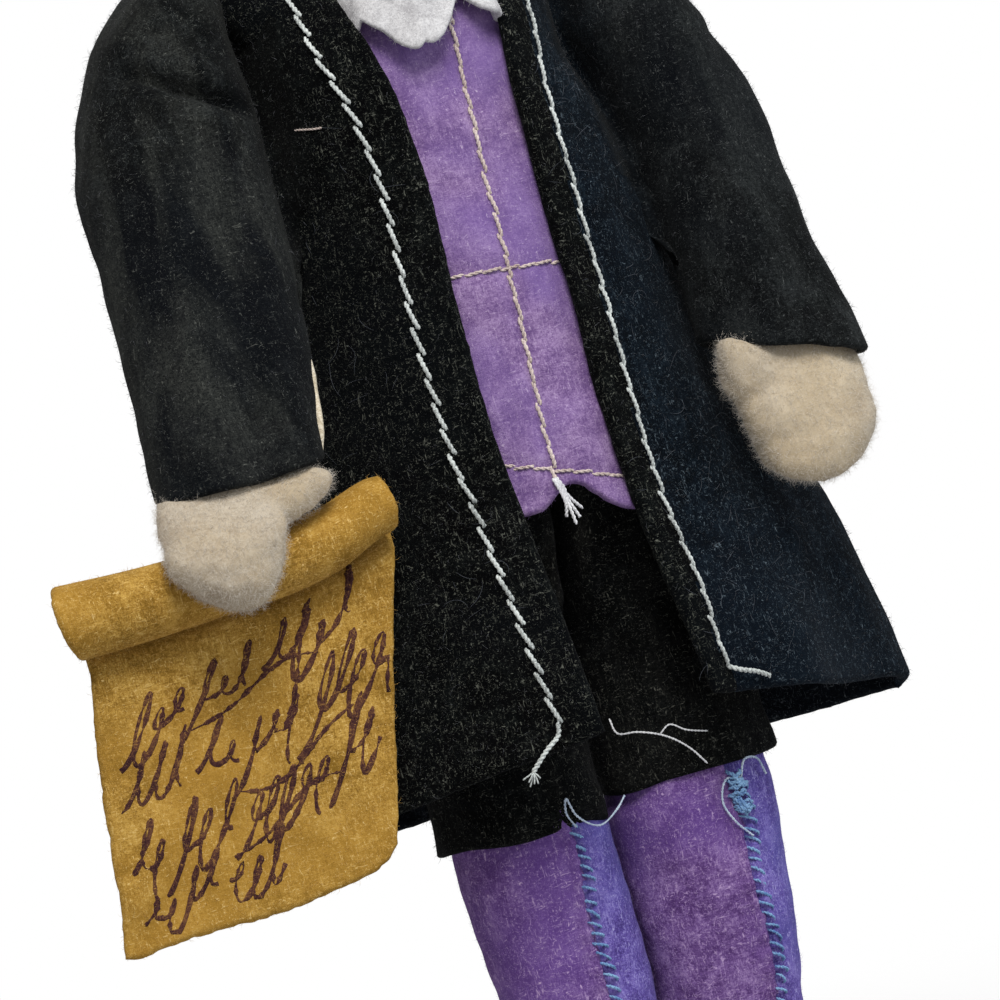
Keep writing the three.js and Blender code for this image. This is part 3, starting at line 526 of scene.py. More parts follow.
INK_MAT = felt("pen_ink", srgb(52, 30, 34), srgb(76, 47, 44), srgb(112, 76, 52), srgb(176, 132, 66), 0.61, 0.74, 0.72, 0.8, 0.03)
WOOL_MAT = thread_mat("grey_wool", srgb(104, 97, 90), srgb(176, 168, 158), 0.85, 0.1, 0.3)
EYELET_MAT = thread_mat("black_cord_thread", srgb(12, 12, 15), srgb(44, 44, 50), 0.7, 0.2, 0.1)

DARK_LINT = plain("dark_lint", srgb(20, 22, 26), 0.9, 0.1, 0.1)
GREY_LINT = plain("grey_lint", srgb(104, 106, 112), 0.9, 0.1, 0.2)
HAIR_LINT = plain("caught_hair", srgb(78, 82, 90), 0.9, 0.1, 0.1)
PURPLE_LINT = plain("purple_lint", srgb(160, 126, 192), 0.9, 0.1, 0.2)
VIOLET_LINT = plain("violet_lint", srgb(140, 102, 184), 0.9, 0.1, 0.2)
CREAM_LINT = plain("cream_lint", srgb(222, 214, 203), 0.9, 0.1, 0.2)
WHITE_LINT = plain("white_lint", srgb(228, 227, 230), 0.9, 0.1, 0.2)
GOLD_LINT = plain("gold_lint", srgb(212, 167, 84), 0.9, 0.1, 0.2)
SKIN_LINT = plain("skin_lint", srgb(240, 208, 184), 0.9, 0.1, 0.2)
WOOL_LINT = plain("wool_lint", srgb(178, 170, 160), 0.9, 0.1, 0.3)


# ------------------------------------------------------------------ coat
def shoulder_line(x):
    return mix(TOP, TIP, step01(7, 18.5, np.abs(x)))


def half_width(z, sgn):
    return along(COAT_HALF_WIDTH, z) + np.where(sgn > 0, 1.3 * step01(78, 92, z) * (1 - step01(102, 116, z)) + 2.9 * step01(42, 62, z) * (1 - step01(70, 94, z)), 0.0)


def coat(side, phi, z, theta, inset):
    a = half_width(z, np.sign(phi)) - inset * 1.25
    b = along(COAT_FRONT if side < 0 else COAT_BACK, z) - inset
    p, q = along(COAT_P, z), along(COAT_Q, z)
    s, c = np.sin(phi), np.maximum(0, np.cos(phi))
    a = a + 2.4 * step01(0.25, 0.8, theta) * step01(0.6, 1.0, np.abs(s))
    x = a * np.sign(s) * np.abs(s) ** (2 / p)
    up = np.where(theta > 0, START + (shoulder_line(x) - inset - START) * np.sin(theta), z)
    y = SEAM_Y + side * (0.2 + (b - 0.2) * c ** (2 / q) * np.cos(theta))
    return np.stack(np.broadcast_arrays(x, y, up), -1)


def phi_at(x, z, inset=0.0):
    return np.arcsin(np.minimum(1, np.abs(x) / (half_width(z, np.sign(x)) - inset * 1.25)) ** (along(COAT_P, z) / 2))


def rise(t, low, top, split=0.7):
    z = np.where(t <= split, mix(low, START, np.minimum(1, t / split)), START)
    theta = np.where(t > split, top * (t - split) / (1 - split), 0.0)
    return z, theta


def height_of(z, theta):
    return np.where(theta > 0, START + (TOP - START) * np.sin(theta), z)


_big, _small, _fine = waves(11, 30), waves(12, 11), waves(13, 4.5)


def coat_wave(p):
    """How far the coat's felt stands in or out of its smooth shape, in millimetres."""
    low = 1 - step01(48, 100, p[..., 2])
    hem = np.sin(np.arctan2(p[..., 0], -p[..., 1] + 4) * 9.0 + 0.6) * 0.7 * (1 - step01(42, 62, p[..., 2]))
    drag = np.sin((p[..., 2] * 0.55 + np.abs(p[..., 0]) * 0.75) * 0.62) * 0.28 * step01(98, 112, p[..., 2]) * step01(8, 14, np.abs(p[..., 0]))
    return 0.34 * _big(p) * (0.5 + 0.7 * low) + 0.10 * _small(p) + 0.03 * _fine(p) + hem + drag


def front_surface(x, z, inset):
    """Smooth point and outward direction of the coat's front at x and height z."""
    x, z = np.broadcast_arrays(np.asarray(x, float), np.asarray(z, float))
    zz = np.minimum(z, START)

    def at(x, z):
        zz = np.minimum(z, START)
        th = np.where(z > START, np.arcsin(np.clip((z - START) / (TOP - inset - START), 0, 0.999)), 0.0)
        return coat(-1, np.sign(x) * phi_at(x, zz, inset), zz, th, inset)
    e = 0.05
    p = at(x, z)
    n = unit(np.cross(at(x + e, z) - at(x - e, z), at(x, z + e) - at(x, z - e)))
    n = np.where(n[..., 1:2] > 0, -n, n)
    return p, n


def on_coat(x, z, lift):
    p, n = front_surface(x, z, FELT / 2)
    return p + n * (FELT / 2 + coat_wave(p) + lift)[..., None] if np.ndim(lift) else p + n * (FELT / 2 + coat_wave(p) + lift)[..., None], n


_waist_wave = waves(21, 14)
_waist_small = waves(22, 5)


def waist_line(z):
    return mix(-1.0, 2.5, (z - 72) / 49)


def waist_wave(p):
    x, z = p[..., 0], p[..., 2]
    groove = -0.35 * np.exp(-((x - waist_line(z)) / 0.9) ** 2) * (1 - step01(116, 122, z))
    rows = -0.28 * np.exp(-((z - (96.1 - 0.12 * x)) / 0.8) ** 2) - 0.28 * np.exp(-((z - (74.5 - 0.35 * x)) / 0.8) ** 2)
    return 0.16 * _waist_wave(p) + 0.06 * _waist_small(p) + groove + rows


def on_waist(x, z, lift):
    p, n = front_surface(x, z, WAISTCOAT_INSET + THIN / 2)
    return p + n * (THIN / 2 + waist_wave(p) + lift)[..., None], n


def coat_outside(p, n):
    return (n * (p - np.array([0, SEAM_Y, 0])) * np.array([1, 1, 0])).sum(-1)


ns, nt_ = ((64, 116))
coat_objs = {}
for side_name, sign, edge in (("right", -1, EDGE_RIGHT), ("left", 1, EDGE_LEFT)):
    S, T = np.meshgrid(spaced(ns, 36, FELT / 2), spaced(nt_, 100, FELT / 2), indexing="ij")
    low = 48.0 - 6.4 * S ** 0.8 + 0.35 * np.sin(S * 9 + sign) * (1 - S)
    z, th = rise(T, low, math.radians(90))
    phi0 = phi_at(sign * along(edge, height_of(z, th)), z)
    mid = coat(-1, sign * mix(phi0, math.pi / 2, S), z, th, FELT / 2)
    ob, area, w, l = thick_sheet("coat_front_%s_cloth" % side_name, mid, FELT / 2, COAT_MAT if sign < 0 else COAT_COOL_LIGHT_MAT, coat_outside, coat_wave(mid) * (1 - step01(0.84, 1.0, S) * (1 - step01(84, 98, mid[..., 2]))), 0.03, 31)
    if sign > 0:
        # painted shade: the turned strip in front of the stitches, where the edge curls inward into shadow, gets the
        # blacker coat felt
        ob.data.materials.append(COAT_MAT)
        mids = np.empty(len(ob.data.polygons) * 3, np.float32)
        ob.data.polygons.foreach_get("center", mids)
        mids = mids.reshape(-1, 3).astype(float) * 1000.0 + np.array([0, 0, EYE])
        painted_shade_strip = mids[:, 0] < along(edge, mids[:, 2]) + 3.0 - step01(62, 52, mids[:, 2])
        ob.data.polygons.foreach_set("material_index", painted_shade_strip.astype(np.int32))
    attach(ob, "torso")
    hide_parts("coat_front_" + side_name)
    coat_objs[side_name] = ob
S, T = np.meshgrid(spaced(2 * ns, 80, FELT / 2), spaced(nt_, 100, FELT / 2), indexing="ij")
phi = mix(-math.pi / 2, math.pi / 2, S)
near_neck = 1 - step01(8.6, 12.0, np.abs(coat(1, phi, np.full_like(phi, START), np.zeros_like(phi), 0.0)[..., 0]))
z, th = rise(T, 41.6 + 0.4 * np.sin(S * 14) * np.sin(S * math.pi), mix(math.radians(90), math.radians(60), near_neck))
mid = coat(1, phi, z, th, FELT / 2)
vent = 0.9 * np.exp(-(mid[..., 0] / 1.6) ** 2) * (1 - step01(60, 92, mid[..., 2]))
ob, area, w, l = thick_sheet("coat_back_cloth", mid, FELT / 2, COAT_BACK_MAT, coat_outside, coat_wave(mid) * (1 - step01(0.84, 1.0, np.abs(2 * S - 1)) * (1 - step01(84, 98, mid[..., 2]))) - vent, 0.03, 35)
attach(ob, "torso")
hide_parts("coat_back")
coat_objs["back"] = ob


# ------------------------------------------------------------------ stitches
def stitch_row(points, normals, pitch, radius, rise_by, slant, seed, gap=0.12, sides=6, n=13, ply_pitch=1.25):
    """A row of hand stitches of twisted thread: each one comes out of the felt, lies on it at a slant and goes in again."""
    r = np.random.default_rng(seed)
    d = np.concatenate([[0], np.cumsum(np.linalg.norm(np.diff(points, axis=0), axis=1))])
    count = max(1, int(round(d[-1] / pitch)))
    pitch = d[-1] / count
    parts = []

    def at(s, arr):
        return np.stack([np.interp(s, d, arr[:, k]) for k in range(3)], -1)
    for k in range(count):
        s0, s1 = (k + gap / 2) * pitch, (k + 1 - gap / 2) * pitch
        s = np.linspace(s0 + r.normal(0, 0.05), s1 + r.normal(0, 0.05), n)
        p, nn = at(s, points), unit(at(s, normals))
        tang = unit(np.gradient(p, axis=0))
        across = np.cross(nn, tang)
        u = np.linspace(-1, 1, n)
        lift = rise_by * (1 - np.abs(u) ** 3.2) - radius * 1.1 * np.abs(u) ** 6 + r.normal(0, 0.03)
        sl = slant + r.normal(0, 0.05)
        q = p + nn * lift[:, None] + across * (u * sl + r.normal(0, 0.06))[:, None]
        parts += plied(q, radius, ply_pitch, r.uniform(0, 6.28), sides)
    return parts


def coat_line(sign, edge, offset, z0, z1):
    z = np.linspace(z1, z0, 160)
    x = sign * (along(edge, z) + offset - (0.9 * step01(121, 130, z) if sign < 0 else 1.0 * step01(62, 52, z)))
    p, n = on_coat(x, z, 0.0)
    return p, n


for side_name, sign, edge, offset in (("right", -1, EDGE_RIGHT, 4.1), ("left", 1, EDGE_LEFT, 3.0)):
    p, n = coat_line(sign, edge, offset, 49.8 if sign < 0 else 50.4, 131.5)
    parts = stitch_row(p, n, 2.75, 0.275 if sign < 0 else 0.235, 0.25, 0.34 if sign < 0 else 0.17, 40 + sign, gap=-0.16 if sign < 0 else -0.2)
    # the thread's end hangs out past the last stitch
    end, en = p[-1], n[-1]
    if sign < 0:
        loose = spline([end + en * 0.2, end + np.array([-0.5, -0.75, -1.1]), end + np.array([-2.1, -0.7, -2.3]), end + np.array([-4.0, -0.2, -4.1])], 26)
    else:
        loose = spline([end + en * 0.2, end + np.array([1.3, -0.6, -0.7]), end + np.array([2.9, -0.2, -1.3]), end + np.array([4.5, 0.55, -2.2])], 26)
    parts += plied(loose, 0.27, 1.1, 0.4)
    if sign < 0:
        # the end has come unplied
        for dx, dy, dz in ((-0.9, -0.3, -0.9), (-0.4, -0.5, -1.2), (0.1, -0.2, -1.3), (-1.3, 0.0, -0.5), (0.4, -0.4, -0.8), (-0.7, 0.2, -1.4)):
            tip = loose[-1]
            parts.append(tube_arrays(spline([loose[-5], tip, tip + np.array([0.5 * dx, 0.5 * dy - 0.15, 0.5 * dz]), tip + np.array([dx, dy, dz])], 14), 0.085, 5))
    v, f = join_arrays(parts)
    ob = add("coat_stitches_" + side_name, v, f, SILVER_MAT)
    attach(ob, "torso")
    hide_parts("coat_stitching_" + side_name)

# ------------------------------------------------------------------ waistcoat
S, T = np.meshgrid(spaced(60, 25, THIN / 2), spaced(96, 64, THIN / 2), indexing="ij")
xx = mix(-12.5, 12.5, S)
hem = 69.9 - 0.2 * xx + 3.2 * np.exp(-(((xx - 0.9) / 2.9) ** 2))
z, th = rise(T, hem, math.radians(36))
inset = WAISTCOAT_INSET + THIN / 2
mid = coat(-1, np.sign(xx) * phi_at(xx, z, inset), z, th, inset)
ob, area, w, l = thick_sheet("waistcoat_cloth", mid, THIN / 2, WAIST_MAT, coat_outside, waist_wave(mid), 0.03, 51)
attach(ob, "torso")
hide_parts("waistcoat")
waistcoat = ob

parts = []
z = np.linspace(126.0, 72.8, 130)
p, n = on_waist(waist_line(z), z, 0.0)
parts += stitch_row(p, n, 2.3, 0.235, 0.2, 0.19, 61, gap=-0.18)
for x0, x1, z0, z1, seed in ((-7.5, 7.5, 97.0, 95.2, 62), (-6.5, 7.0, 76.8, 72.0, 63)):
    x = np.linspace(x0, x1, 60)
    p, n = on_waist(x, mix(z0, z1, (x - x0) / (x1 - x0)), 0.0)
    parts += stitch_row(p, n, 2.1, 0.185, 0.17, 0.12, seed, gap=-0.1)
v, f = join_arrays(parts)
ob = add("waistcoat_stitches", v, f, CREAM_MAT)
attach(ob, "torso")
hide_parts("waistcoat_stitching")
base, bn = on_waist(np.array([-1.0]), np.array([73.4]), 0.3)
base, bn = base[0], bn[0]
tails = []
for k, (dx, dy, dz) in enumerate(((-0.5, -0.25, -3.6), (0.25, -0.45, -4.6), (0.9, -0.2, -4.0), (1.5, 0.1, -3.2), (0.1, -0.1, -2.6))):
    tails += plied(spline([base + np.array([0.1 * k - 0.2, 0.0, 0.5]), base + np.array([0.12 * k, -0.7, -0.9]), base + np.array([0.35 + 0.35 * dx, -0.75 + 0.3 * dy, 0.6 * dz]), base + np.array([0.5 + dx, -0.2 + dy, dz])], 22), 0.19, 1.0, k)
v, f = join_arrays(tails)
ob = add("waistcoat_thread_ends", v, f, WHITE_THREAD_MAT)
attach(ob, "torso")

# ------------------------------------------------------------------ jabot and neckband
_jab = waves(71, 6)


def petals(x, shape, notch):
    """Lower edge of a felt frill cut in petals: (middle, half width, drop) each."""
    low = np.full_like(x, notch)
    for c, hw, drop in shape:
        t = np.clip(np.abs(x - c) / hw, 0, 1)
        low = np.minimum(low, notch - drop * (1 - t ** 1.7))
    return low


def jabot(name, x0, x1, shape, notch, lift, top_deg, seed):
    S, T = np.meshgrid(spaced(120, 20, 0.5), spaced(30, 12, 0.5), indexing="ij")
    x = mix(x0, x1, S)
    low = petals(x, shape, notch)
    edge = np.where(x < 0, 7.9, 8.0)
    ins = mix(0.95 - lift, 2.05, step01(-2.6, -0.2, np.abs(x) - edge))
    th0 = np.arcsin(np.clip((low - START) / (TOP - START), 0.0, 0.99))
    mid = coat(-1, np.sign(x) * phi_at(x, np.full_like(x, START), ins), np.full_like(x, START), mix(th0, math.radians(top_deg), T), ins)
    free = step01(0.3, -2.0, np.abs(x) - edge)
    puff = sum(0.45 * np.exp(-((x - c) / (hw * 0.5)) ** 2) for c, hw, _ in shape) * (1 - T) ** 0.5 + 1.1 * (1 - T) ** 2.5
    return thick_sheet(name, mid, 0.5, WHITE_MAT, coat_outside, (0.12 * _jab(mid) + puff) * free, 0.03, seed)


ob, area, w, l = jabot("jabot_lower", -11.6, 10.6, [(-7.5, 1.5, 1.5), (-2.6, 3.7, 4.7), (-0.7, 4.3, 4.5), (7.6, 4.1, 3.9)], 125.0, 0.0, 66, 72)
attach(ob, "torso")
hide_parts("jabot")
jabot_low = ob
ob, area, w, l = jabot("jabot_upper", -5.4, 5.6, [(-3.4, 2.0, 2.2), (0.3, 1.8, 3.0), (3.8, 1.8, 2.2)], 128.4, 1.3, 56, 73)
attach(ob, "torso")
jabot_up = ob

# wrapped neckband, with soft folds round the neck
prof = []
for k in range(40):
    a = 2 * math.pi * k / 40
    prof.append((6.65 + 0.95 * math.cos(a) * (1 + 0.12 * math.cos(3 * a)), 134.5 + 1.75 * math.sin(a) + 0.1 * math.sin(5 * a)))
ang = np.linspace(0, 2 * math.pi, 96, endpoint=False)
ring = np.array([[[(r + 0.10 * math.sin(z * 5.2 + 2.2 * math.sin(a * 2))) * math.sin(a), -(r + 0.10 * math.sin(z * 5.2 + 2.2 * math.sin(a * 2))) * math.cos(a), z + 0.12 * math.sin(3 * a)] for r, z in prof] for a in ang])
f = grid_faces(96, 40, wrap=True)
i = np.arange(96)
f = np.concatenate([f, np.stack([i * 40 + 39, ((i + 1) % 96) * 40 + 39, ((i + 1) % 96) * 40, i * 40], -1)])
ob = add("neckband_cloth", ring.reshape(-1, 3), f, WHITE_MAT, outward=True)
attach(ob, "torso")
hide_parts("neckband")

# neck
zz = np.linspace(131.5, 139.2, 18)
ang = np.linspace(0, 2 * math.pi, 48, endpoint=False)
rr = 5.45 + 0.25 * np.cos((zz - 135.5) / 4.0 * math.pi)
rings = np.stack([np.stack([r * np.sin(ang), -r * np.cos(ang), np.full_like(ang, z)], -1) for r, z in zip(rr, zz)])
ob = lofted("neck_felt", rings, SKIN_MAT)
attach(ob, "torso")
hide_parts("neck")


# ------------------------------------------------------------------ torso stuffing (shows only through gaps)
def superellipse(ang, a, front, back, p, q):
    s, c = np.sin(ang), np.cos(ang)
    return a * np.sign(s) * np.abs(s) ** (2 / p), np.where(c >= 0, -front * np.abs(c) ** (2 / q), back * np.abs(c) ** (2 / q))


ang = np.linspace(0, 2 * math.pi, 72, endpoint=False)
levels = np.concatenate([np.linspace(72.5, START, 34), START + (132.3 - START) * np.sin(np.linspace(0.08, math.pi / 2 * 0.97, 14))])
TORSO_W = [[60, 12.0], [75, 12.3], [80, 13.2], [95, 13.6], [112, 14.4], [120, 14.8], [140, 14.8]]
TORSO_B = [[60, 6.6], [75, 7.0], [82, 8.2], [100, 8.0], [118, 7.6], [140, 7.4]]
rings = []
for k, z in enumerate(levels):
    th = math.asin(min(1, max(0, (z - START) / (132.3 - START))))
    kk = max(0.05, math.cos(th))
    zz = min(z, START)
    fr = float(along(COAT_FRONT, zz)) - 5.4 - 6.0 * (1 - float(step01(76, 90, zz)))
    x, y = superellipse(ang, float(along(TORSO_W, zz)) * kk ** 0.45, fr * kk ** 0.9, float(along(TORSO_B, zz)) * kk ** 0.9, 2.3, 2)
    rings.append(np.stack([x, SEAM_Y + y, np.full_like(x, z) - 0.02 * np.abs(x) * (z > START)], -1))
rings = np.array(rings)
rings += normals_of(rings.transpose(1, 0, 2), True).transpose(1, 0, 2) * (0.12 * waves(81, 7)(rings) - 0.3)[..., None]
ob = lofted("torso_stuffed", rings, LINING_MAT)
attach(ob, "torso")
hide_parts("torso_core")


# ------------------------------------------------------------------ breeches
def leg_ring(z, cx, wx, wy, ang, k=1.0):
    x, y = superellipse(ang, wx * (k ** 0.35), wy * k, wy * k, 2.2, 2.1)
    return np.stack([cx + x, HIP_Y + y, np.full_like(x, z)], -1)


_br = waves(91, 9)
_br2 = waves(92, 3.5)
ang = np.linspace(0, 2 * math.pi, 120, endpoint=False)


def half_ring(z, sign, wider=0.0):
    """One half of the breeches, cut as trousers are: flat along the middle seam above, a leg below."""
    t = float(step01(70, 53, z))
    cx = mix(7.4, BREECHES_X, t)
    wi, wo = cx - mix(0.10, 0.35, t), mix(7.4, 8.95 + wider, t)
    front, backy = -float(mix(9.7, 15.2, step01(55, 78, z))), float(mix(7.7, 11.8, step01(55, 76, z)))
    s, c = np.sin(ang), np.cos(ang)
    p_in = mix(14.0, 2.3, t ** 1.5)
    x = np.where(s >= 0, wo * np.abs(s) ** (2 / 2.3), -wi * np.abs(s) ** (2 / p_in))
    y = np.where(c >= 0, HIP_Y + (front - HIP_Y) * np.abs(c) ** (2 / 2.2), HIP_Y + (backy - HIP_Y) * np.abs(c) ** (2 / 2.2))
    return np.stack([sign * (cx + x), y, np.full_like(x, z)], -1)


leg_objs = {}
HIP_SPAN = {}
for name, sign, seam_deg in (("right", -1, 16), ("left", 1, 20)):
    body = name + "_leg"
    bx, lx = sign * BREECHES_X, sign * LEG_X
    rings = np.array([half_ring(z, sign, 0.0 if sign < 0 else 1.2) for z in np.linspace(77.6, BREECHES_HEM + (0.0 if sign < 0 else 1.6), 96)])
    nn = normals_of(rings.transpose(1, 0, 2), True).transpose(1, 0, 2)
    if (nn * (rings - np.array([bx, HIP_Y, 0])))[..., :2].sum() < 0:
        nn = -nn
    hemw = 0.25 * np.sin(ang * 5 + sign)[None, :] * (1 - step01(38, 46, rings[..., 2]))
    free = step01(0.3, 2.0, np.abs(rings[..., 0]))
    creases = 0.3 * np.sin((rings[..., 2] * 0.8 + 0.9 * np.abs(rings[..., 0])) * 0.9) * np.exp(-((rings[..., 2] - 60) / 6.0) ** 2)
    fold = 0.9 * np.exp(-((np.abs(rings[..., 0]) - 6.2 - 0.06 * (rings[..., 2] - 56)) / 1.5) ** 2) - 0.5 * np.exp(-((np.abs(rings[..., 0]) - 3.2) / 1.2) ** 2)
    creases = creases + fold * step01(68, 62, rings[..., 2]) * step01(44, 52, rings[..., 2]) * (rings[..., 1] < -4)
    outer = rings + nn * ((0.2 * _br(rings * 1.1 + 7) + 0.06 * _br2(rings) + creases) * free + hemw - 0.05)[..., None]
    outer[..., 2] -= (0.9 if sign < 0 else 0.3) * step01(5.0, 1.0, np.abs(rings[..., 0])) * (1 - step01(39, 43, rings[..., 2]))
    outer[..., 0] = sign * np.maximum(sign * outer[..., 0], 0.06)
    outer[..., 2] += (0.3 * np.sin(ang * 3 + 2 * sign))[None, :] * (1 - step01(38, 42, rings[..., 2]))
    lip = [outer[-1] - nn[-1] * d + np.array([0, 0, h]) for d, h in ((0.2, -0.25), (0.6, -0.35), (1.0, -0.2), (1.2, 0.5), (1.25, 4.0))]
    ob = lofted("breeches_half_" + name, np.concatenate([outer, lip]), BREECHES_MAT)
    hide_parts("breeches_leg_" + name, "breeches_seat")
    HIP_SPAN[name] = ("torso", body, V((bx, HIP_Y, HIP_Z + 6.0)), V((bx, HIP_Y, HIP_Z - 5.0)))
    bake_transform(ob)
    leg_objs["breeches_" + name] = ob

    # stuffed stocking leg, its two cut edges drawn together in a seam at the front
    zl = np.concatenate([[9.2, 9.4, 9.9], np.linspace(10.6, 46, 80)])
    rings = []
    for z in zl:
        w = float(along(STOCKING_W, z)) * (0.8 if z < 9.3 else 0.95 if z < 9.6 else 1.0)
        rg = leg_ring(z, lx, w, w * 0.98, ang)
        near = sign * (rg[:, 0] - lx) < 0
        rg[:, 0] = np.where(near, lx + (rg[:, 0] - lx) * mix(1.0, (LEG_X - 0.22) / w, float(step01(9, 17, z) * (1 - step01(36.8, 39.2, z)))), rg[:, 0])
        if sign > 0:
            rg[:, 0] += np.where(near, 0.0, (rg[:, 0] - lx) / w) * (0.45 * step01(10, 18, z) + 0.75 * step01(22, 37, z) - 0.4 * step01(40, 44, z))
        rings.append(rg)
    rings = np.array(rings)
    nn = normals_of(rings.transpose(1, 0, 2), True).transpose(1, 0, 2)
    if (nn * (rings - np.array([lx, HIP_Y, 0])))[..., :2].sum() < 0:
        nn = -nn
    seam_a = math.radians(seam_deg) + 0.03 * np.sin(rings[..., 2] * 0.4)
    da = (np.arctan2(rings[..., 0] - lx, -(rings[..., 1] - HIP_Y)) - seam_a)
    arc = da * 7.5
    ridge = 0.42 * np.exp(-((np.abs(arc) - 0.55) / 0.45) ** 2) - 0.55 * np.exp(-(arc / 0.28) ** 2)
    pucker = 0.12 * np.sin(rings[..., 2] * 2 * math.pi / 1.9) * np.exp(-(arc / 1.6) ** 2)
    outer = rings + nn * (0.13 * waves(95 + sign, 12)(rings) + 0.03 * _br2(rings) + ridge + pucker)[..., None]
    outer[..., 0] = sign * np.maximum(sign * outer[..., 0], 0.1)
    ob = lofted("stocking_%s_stuffed" % name, outer, STOCKING_MAT)
    ob.data.materials.append(STOCKING_BLUE_MAT)
    for poly in ob.data.polygons:
        c = poly.center
        a_ = math.atan2(c.x * 1000 - lx, -(c.y * 1000 - HIP_Y)) - math.radians(seam_deg) - 0.03 * math.sin((c.z * 1000 + EYE) * 0.4)
        if 0.0 < a_ < 1.9:
            poly.material_index = 1
    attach(ob, body)
    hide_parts("stocking_" + name)
    leg_objs["stocking_" + name] = ob

    # whip stitches over the seam
    def leg_point(z, arc_mm):
        w = along(STOCKING_W, z)
        a = math.radians(seam_deg) + 0.03 * np.sin(z * 0.4) + arc_mm / 7.5
        x, y = superellipse(a, w, w * 0.98, w * 0.98, 2.2, 2.1)
        if sign > 0:
            x = x + np.maximum(x, 0) / w * (0.45 * step01(10, 18, z) + 0.75 * step01(22, 37, z))
        p = np.stack(np.broadcast_arrays(lx + x, HIP_Y + y, z), -1)
        return p, unit(np.stack(np.broadcast_arrays(x, y, 0 * z), -1))
    r = np.random.default_rng(101 + sign)
    parts = []
    z = 38.3 if sign < 0 else 37.6
    while z > 11:
        u = np.linspace(-1, 1, 11)
        wide = 0.68 + r.normal(0, 0.1)
        zz = z - (0.56 + r.normal(0, 0.1)) * u + r.normal(0, 0.08)
        p, n_ = leg_point(zz, u * wide + r.normal(0, 0.08))
        q = p + n_ * (0.62 * (1 - np.abs(u) ** 3) - 0.06 + r.normal(0, 0.04))[:, None]
        parts += plied(q, r.uniform(0.16, 0.21), 0.8, r.uniform(0, 6), 5)
        z -= 1.16 + r.normal(0, 0.1)
    if sign > 0:
        # knot where the thread starts
        c, n_ = leg_point(np.array([38.0]), np.array([-0.4]))
        c = c[0] + n_[0] * 0.7
        for kk_ in range(15):
            t = np.linspace(-1, 1, 16)
            hh = r.uniform(-2.0, 2.0)
            wd = 1.2 * math.sqrt(max(0.15, 1 - (hh / 2.4) ** 2)) * r.uniform(0.75, 1.1)
            tip_ = r.normal(0, 0.55)
            knot = c + np.stack([wd * t * math.cos(tip_) - 0.3 + r.normal(0, 0.15), -(0.6 + 0.25 * r.random()) * np.sqrt(np.clip(1 - t * t, 0, 1)) + 0.25, -1.2 + hh + wd * t * math.sin(tip_) - 0.3 * t + 0.12 * np.sin(7 * t + kk_)], -1)
            parts += plied(knot, 0.22, 1.0, kk_, 5)
    v, f = join_arrays(parts)
    ob = add("stocking_stitches_" + name, v, f, BLUE_MAT)
    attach(ob, body)
    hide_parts("stocking_seam_" + name)

    # loose ends of the seam thread
    c, n_ = leg_point(np.array([38.2]), np.array([0.0]))
    c, n_ = c[0], n_[0]
    if sign < 0:
        ends = [[c + n_ * 0.6, c + np.array([-0.6, -1.0, 1.8]), c + np.array([-0.3, -1.2, 3.2]), c + np.array([0.4, -1.0, 1.2]), c + np.array([2.6, -0.9, -0.5]), c + np.array([5.2, -0.3, 0.6]), c + np.array([6.6, 0.6, 1.6])]]
    else:
        ends = [[c + n_ * 0.6, c + np.array([-1.6, -1.0, 0.3]), c + np.array([-2.6, -0.9, -1.8]), c + np.array([-1.8, -0.9, -4.2]), c + np.array([-0.3, -0.8, -6.2])],
                [c + n_ * 0.5, c + np.array([0.9, -0.8, 1.7]), c + np.array([2.6, 0.2, 1.5]), c + np.array([3.6, 1.3, -0.5])]]
    parts = []
    for e in ends:
        parts += plied(spline(e, 40), 0.14, 0.8, 0.3, 5)
    v, f = join_arrays(parts)
    ob = add("seam_thread_ends_" + name, v, f, PALE_BLUE_MAT)
    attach(ob, body)

# white threads lying over the breeches hem
c = np.array([0.6, -9.9, 46.4])
parts = plied(spline([c + np.array([-0.2, 0.6, 1.6]), c, c + np.array([1.8, -0.9, -0.4]), c + np.array([4.6, -1.2, -1.6]), c + np.array([7.0, -1.0, -3.6]), c + np.array([8.4, -0.9, -5.6])], 50), 0.12, 0.8, 0, 5)
parts += plied(spline([c + np.array([4.2, -1.05, -1.3]), c + np.array([5.2, -1.35, -0.6]), c + np.array([7.0, -1.2, -1.6]), c + np.array([9.4, -0.8, -2.4])], 30), 0.10, 0.8, 1, 5)
v, f = join_arrays(parts)
ob = add("loose_thread_breeches", v, f, WHITE_THREAD_MAT)
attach(ob, "left_leg")

# ------------------------------------------------------------------ arms
ARMS = {
    "right": dict(sign=-1, inner=[[76, 25.4], [82, 24.4], [92, 22.0], [105, 19.5], [115, 18.3], [120, ARMHOLE_X], [140, ARMHOLE_X]],
                  outer=[[76, 42.9], [82, 42.6], [105, 39.3], [113, 38.7], [120, 36.6], [127, 33.0], [134, 27.8], [140, 27.8]], lean=0.36, drift=0.15, under=99, cap=1.0, slope=0.30, cuff=lambda x: 82.6 + 0 * x),
    "left": dict(sign=1, inner=[[76, 20.4], [82, 20.2], [92, 20.5], [100, 20.6], [107, 20.3], [114, 19.1], [120, ARMHOLE_X], [140, ARMHOLE_X]],
                 outer=[[76, 36.4], [82, 36.1], [95, 35.0], [100, 34.9], [105, 34.7], [111, 33.7], [115, 32.5], [118, 31.4], [121, 30.5], [127, 28.8], [134, 26.0], [140, 26.0]], lean=0.29, drift=0.03, under=93, cap=1.0, slope=0.18, cuff=lambda x: mix(83.5, 77.9, (x - 20.0) / 16.5)),
}
SLEEVE_D = [[76, 5.8], [82, 5.8], [105, 7.0], [118, 8.8], [127, SHOULDER_R], [140, SHOULDER_R]]


